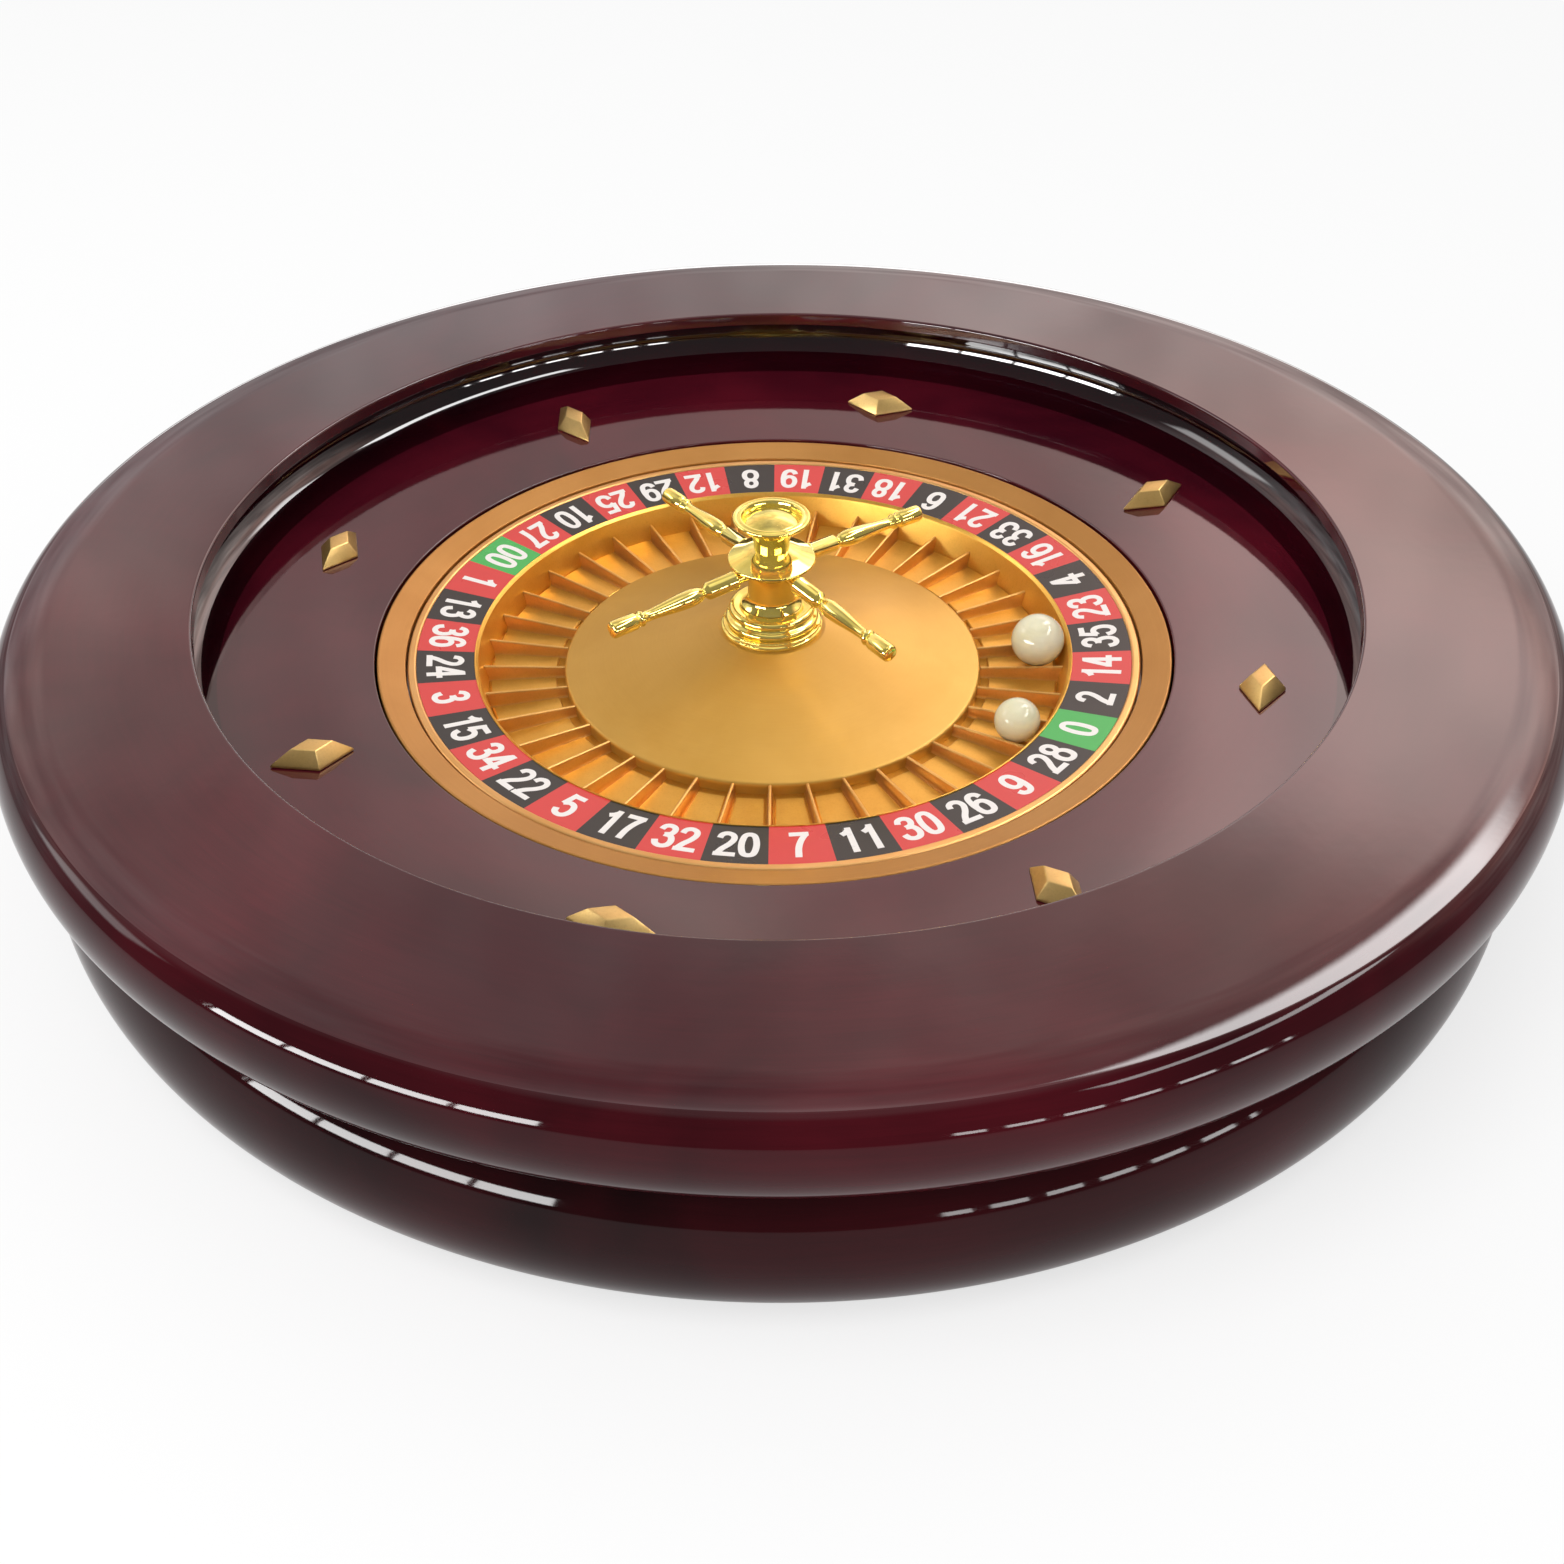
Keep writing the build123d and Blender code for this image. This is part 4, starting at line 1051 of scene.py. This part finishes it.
# Arms: turned spokes with a neck, a vase, a bead and a tip, as places along them and shares of ARM_R
span = ARM_TIP - ARM_START
neck, vase, waist = ARM_START + 0.26 * span, ARM_START + 0.37 * span, ARM_START + 0.71 * span
knob, tip = ARM_START + 0.767 * span, ARM_START + 0.80 * span
turnings = [
    (ARM_START, 1.0), (ARM_START + 0.25, 1.08), (ARM_START + 0.9, 1.08), (ARM_START + 1.15, 1.0),
    (neck - 1.7, 1.0), (neck - 1.1, 0.9), (neck - 0.4, 0.62), (neck, 0.54), (neck + 0.5, 0.54),
    (neck + 0.9, 0.66), (neck + 1.3, 0.76), (neck + 2.1, 0.83), (neck + 3.4, 0.94), (vase, 1.0),
]
for k in range(1, 12):
    swell = cos(pi / 2 * k / 12) ** 1.7
    turnings.append((vase + (waist - vase) * k / 12, ARM_WAIST + (1 - ARM_WAIST) * swell))
turnings += [
    (waist, ARM_WAIST), (knob - 0.9, 0.68), (knob - 0.5, 0.86), (knob, 0.92), (knob + 0.5, 0.86),
    (knob + 0.8, 0.72), (tip, 0.74), (tip + 0.5, 0.90), (tip + 0.9, 0.97), (ARM_TIP - 1.2, 0.98),
    (ARM_TIP - 0.5, 0.95), (ARM_TIP - 0.15, 0.86), (ARM_TIP, 0.74), (ARM_TIP, 0.0),
]
shank = [(0, ARM_TENON), (ARM_SHANK_R, ARM_TENON), (ARM_SHANK_R, ARM_START - 0.4)]
arm_outline = shank + [(ARM_R * share, place) for place, share in turnings]
for number in range(4):
    turn, droop = radians(ARM_PHASE + 90 * number), radians(ARM_DROOP)
    along = Vector((cos(turn) * cos(droop), sin(turn) * cos(droop), -sin(droop)))
    at = Matrix.Translation((0, 0, ARM_ROOT_Z * MM)) @ along.to_track_quat("Z", "Y").to_matrix().to_4x4()
    arm = turned(f"spoke_{number + 1}", arm_outline, ARM_SIDES, closed=False, at=at)
    finished(arm, [PLATED_GOLD], "rotor", (f"arm_{number + 1}",), 50)

# ---------------------------------------------------------------- balls
for name, centre, size, body in (
    ("ball_large", LARGE_BALL, LARGE_BALL_R, "large_ball"),
    ("ball_small", SMALL_BALL, SMALL_BALL_R, "small_ball"),
):
    at = Matrix.Translation(Vector(centre) * MM) @ Matrix.Rotation(radians(BALL_TILT), 4, BALL_TILT_AXIS)
    round_r = size - BALL_INSET
    outline = [(0, -round_r)] + arc(0, 0, round_r, round_r, -87, 87, 58) + [(0, round_r)]
    ball = turned(f"{name}_shell", outline, BALL_SIDES, closed=False, at=at)
    finished(ball, [IVORY], body, (name,), 60)

# ---------------------------------------------------------------- underside
foot_outline = eased([(0, 0.9), (2.4, 0.9), (2.9, 0.0), (8.5, 0.0, 0.3), (9.0, BASE_Z), (0, BASE_Z)], 4)
for number in range(4):
    away, _ = spoke_axes(FOOT_PHASE + 90 * number)
    at = Matrix.Translation(away * FOOT_RING_R * MM)
    foot = turned(f"foot_pad_{number + 1}", foot_outline, FOOT_SIDES, closed=False, at=at)
    finished(foot, [RUBBER], "bowl", (f"foot_{number + 1}",))
screw_outline = eased([(0, 1.2), (0.9, 1.2), (1.9, 1.5), (3.6, 1.3, 0.2), (3.6, 2.2), (0, 2.2)], 4)
screw_place = Matrix.Translation((SCREW_RING_R * MM, 0, SCREW_LIFT * MM))
screw = turned("screw", screw_outline, SCREW_SIDES, closed=False, at=screw_place)
screws = copied(screw, "plate_screws", SCREWS, 360 / SCREWS, STEEL)
finished(screws, (), "bowl")

# Parts that keep the shape they were made with
BEARING_PARTS = ("inner_race", "outer_race", "cage", "bearing_balls")
for names, finish in (
    (["base_plate"], BOARD),
    (["rotor_pan", "rotor_hub"], ALLOY),
    (["spindle", "spindle_nut", "spindle_clip", "bearing_retainer", "inner_spacer", "outer_spacer"], STEEL),
    ([f"{level}_{part}" for level in ("lower", "upper") for part in BEARING_PARTS], STEEL),
):
    for name in names:
        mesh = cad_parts[name].data
        mesh.materials.clear()
        mesh.materials.append(finish)

# ---------------------------------------------------------------- floor, light and camera (metres)
FLOOR_HALF = 4
FLOOR_SHOWN = 0.7
FLOOR_MIRRORED = 0.2
FLOOR_GREY = (0.90, 0.90, 0.90, 1)
EVEN_LIGHT = 0.72
OVERHEAD_LIGHT = 0.75
FAINT_LIGHT = 0.20
BACK_WALL_LIGHT = 3.3
CLOUD_SCALE = 9.0
CLOUD_DEPTH = 2.0
CLOUD_DROP = -0.04
KEY_PLACE = (-0.7, -0.9, 2.1)
KEY_WIDTH = 1.8
KEY_POWER = 30
CAMERA_PLACE = (-0.0192, -0.5281, 0.4031)
CAMERA_BACK = (0.0, -0.78781, 0.61592)
CAMERA_RIGHT = (0.999664, -0.01597, -0.020427)
LENS_MM = 42.08
SENSOR_MM = 36
LENS_SHIFT = 0.0396
WHITE_LIGHT = (1, 1, 1, 1)
TWO_TURNS = 720


floor = bpy.data.meshes.new("floor")
corners = [(x * FLOOR_HALF, y * FLOOR_HALF, 0) for x, y in ((-1, -1), (1, -1), (1, 1), (-1, 1))]
floor.from_pydata(corners, [], [(0, 1, 2, 3)])
floor_obj = placed("floor", floor)
sheet = Finish("studio_floor", IOR=1.2, Roughness=0.9, Specular_IOR_Level=0.0, Base_Color=FLOOR_GREY)
rays = sheet.node("ShaderNodeLightPath").outputs
seen = sheet.product(rays["Is Camera Ray"], FLOOR_SHOWN)
mirrored = sheet.product(rays["Is Glossy Ray"], FLOOR_MIRRORED)
glow = sheet.node("ShaderNodeEmission").outputs[0]
paper = sheet.covered(sheet.maths("ADD", seen, mirrored), sheet.shader.outputs[0], glow)
sheet.link(paper, sheet.n["Material Output"].inputs["Surface"])
floor.materials.append(sheet.made)


def studio_world():
    """White to the camera, an even pale light on matt surfaces, and a studio with windows for gloss."""
    world = bpy.data.worlds.new("studio")
    bpy.context.scene.world = world
    world.use_nodes = True
    world.cycles.sampling_method = "NONE"
    room = Nodes(world.node_tree)
    room.n.clear()
    way = room.node("ShaderNodeTexCoord").outputs["Generated"]
    x, y, z = room.parted(way)
    azimuth = room.product(room.maths("ARCTAN2", y, x), degrees(1))
    rise = room.product(room.maths("ARCSINE", z), degrees(1))

    def between(value, ends, soft):
        """1 between two angles, fading out over a soft edge on each side."""
        low, high = ends
        up = room.scaled(value, 0, 1, low - soft, low + soft, "SMOOTHSTEP")
        down = room.scaled(value, 0, 1, high + soft, high - soft, "SMOOTHSTEP")
        return room.product(up, down)

    def panel(azimuths, rises, level, soft, panes=0, bar=0.0):
        """A panel of light between azimuths and rises, or a window of panes with dark bars between."""
        shape = room.product(between(azimuth, azimuths, soft[0]), between(rise, rises, soft[1]))
        if panes:
            width = (azimuths[1] - azimuths[0]) / panes
            along = room.maths("SUBTRACT", azimuth, azimuths[0] - TWO_TURNS)
            place = room.maths("FRACT", room.maths("DIVIDE", along, width))
            shape = room.product(shape, room.maths("GREATER_THAN", room.product(place, width), bar))
        return room.product(shape, level)

    def tinted(value, *stops):
        """A colour for each angle, from (angle, colour) pairs in rising order."""
        low, span = stops[0][0], stops[-1][0] - stops[0][0]
        place = room.maths("DIVIDE", room.maths("SUBTRACT", value, low), span)
        return room.ramp(place, *[((angle - low) / span, colour) for angle, colour in stops])

    wall = tinted(
        rise,
        (0, (0.34, 0.34, 0.34)),
        (12, (0.53, 0.53, 0.53)),
        (23, (1.0, 0.98, 0.98)),
        (30, (1.0, 0.74, 0.68)),
        (36, (0.88, 0.66, 0.62)),
        (43, (0.52, 0.46, 0.45)),
        (48, (0.36, 0.32, 0.31)),
        (60, (0.16, 0.15, 0.15)),
        (90, (0.20, 0.20, 0.20)),
    )
    warmth = tinted(
        azimuth,
        (20, (0.50, 0.42, 0.39)),
        (62, (0.62, 0.52, 0.48)),
        (80, (0.54, 0.47, 0.45)),
        (88, (0.38, 0.36, 0.345)),
        (94, (0.29, 0.28, 0.28)),
        (160, (0.29, 0.29, 0.295)),
    )
    cloud = room.noise(way, CLOUD_SCALE, 2.0)
    uneven = room.maths("ADD", room.product(cloud, CLOUD_DEPTH), CLOUD_DROP)
    behind = room.product(between(azimuth, (8, 166), 14), BACK_WALL_LIGHT, uneven)
    back_wall = room.node("ShaderNodeVectorMath", operation="SCALE")
    room.link(room.fed("ShaderNodeVectorMath", warmth, wall, operation="MULTIPLY"), back_wall.inputs[0])
    room.link(behind, back_wall.inputs["Scale"])
    total = room.maths("ADD", room.product(between(rise, (70, 120), 9), OVERHEAD_LIGHT), FAINT_LIGHT)
    for light in (
        panel((-165, -120), (4, 13), level=40, soft=(0.4, 0.6), panes=4, bar=0.9),
        panel((-71, -28), (4, 8.5), level=22, soft=(0.4, 0.4), panes=6, bar=2.4),
        panel((-42, 18), (44, 50.5), level=14, soft=(2, 0.8)),
        panel((35, 52), (37, 65), level=8.5, soft=(2.5, 3)),
        panel((153, 176), (20, 33), level=4, soft=(2, 3)),
        panel((48, 80), (29, 38), level=1.3, soft=(8, 3)),
        panel((118, 170), (38, 66), level=0.2, soft=(10, 6)),
        panel((62, 118), (-1, 5), level=3.5, soft=(6, 1.5)),
    ):
        total = room.maths("ADD", total, light)
    plain = room.fed("ShaderNodeCombineXYZ", total, total, total)
    whole = room.fed("ShaderNodeVectorMath", back_wall.outputs[0], plain, operation="ADD")
    rays = room.node("ShaderNodeLightPath").outputs
    white = room.fed("ShaderNodeBackground", WHITE_LIGHT, 1.0)
    even = room.fed("ShaderNodeBackground", WHITE_LIGHT, EVEN_LIGHT)
    gloss = room.fed("ShaderNodeBackground", whole, 1.0)
    lit = room.covered(rays["Is Glossy Ray"], even, gloss)
    shown = room.covered(rays["Is Camera Ray"], lit, white)
    room.link(shown, room.node("ShaderNodeOutputWorld").inputs[0])


studio_world()

lamp = bpy.data.lights.new("key_light", "AREA")
lamp.shape = "DISK"
lamp.size = KEY_WIDTH
lamp.energy = KEY_POWER
key = placed("key_light", lamp)
key.location = KEY_PLACE
key.rotation_euler = (-Vector(KEY_PLACE)).to_track_quat("-Z", "Y").to_euler()
key.visible_glossy = False

lens = bpy.data.cameras.new("camera")
lens.lens, lens.sensor_width, lens.shift_x = LENS_MM, SENSOR_MM, LENS_SHIFT
lens.clip_start, lens.clip_end = 0.01, 30
camera = placed("camera", lens)
back = Vector(CAMERA_BACK).normalized()
right = Vector(CAMERA_RIGHT)
right = (right - back * right.dot(back)).normalized()
turn = Matrix((right, back.cross(right), back)).transposed().to_4x4()
camera.matrix_world = Matrix.Translation(CAMERA_PLACE) @ turn
bpy.context.scene.camera = camera
bpy.context.scene.view_settings.view_transform = "Standard"
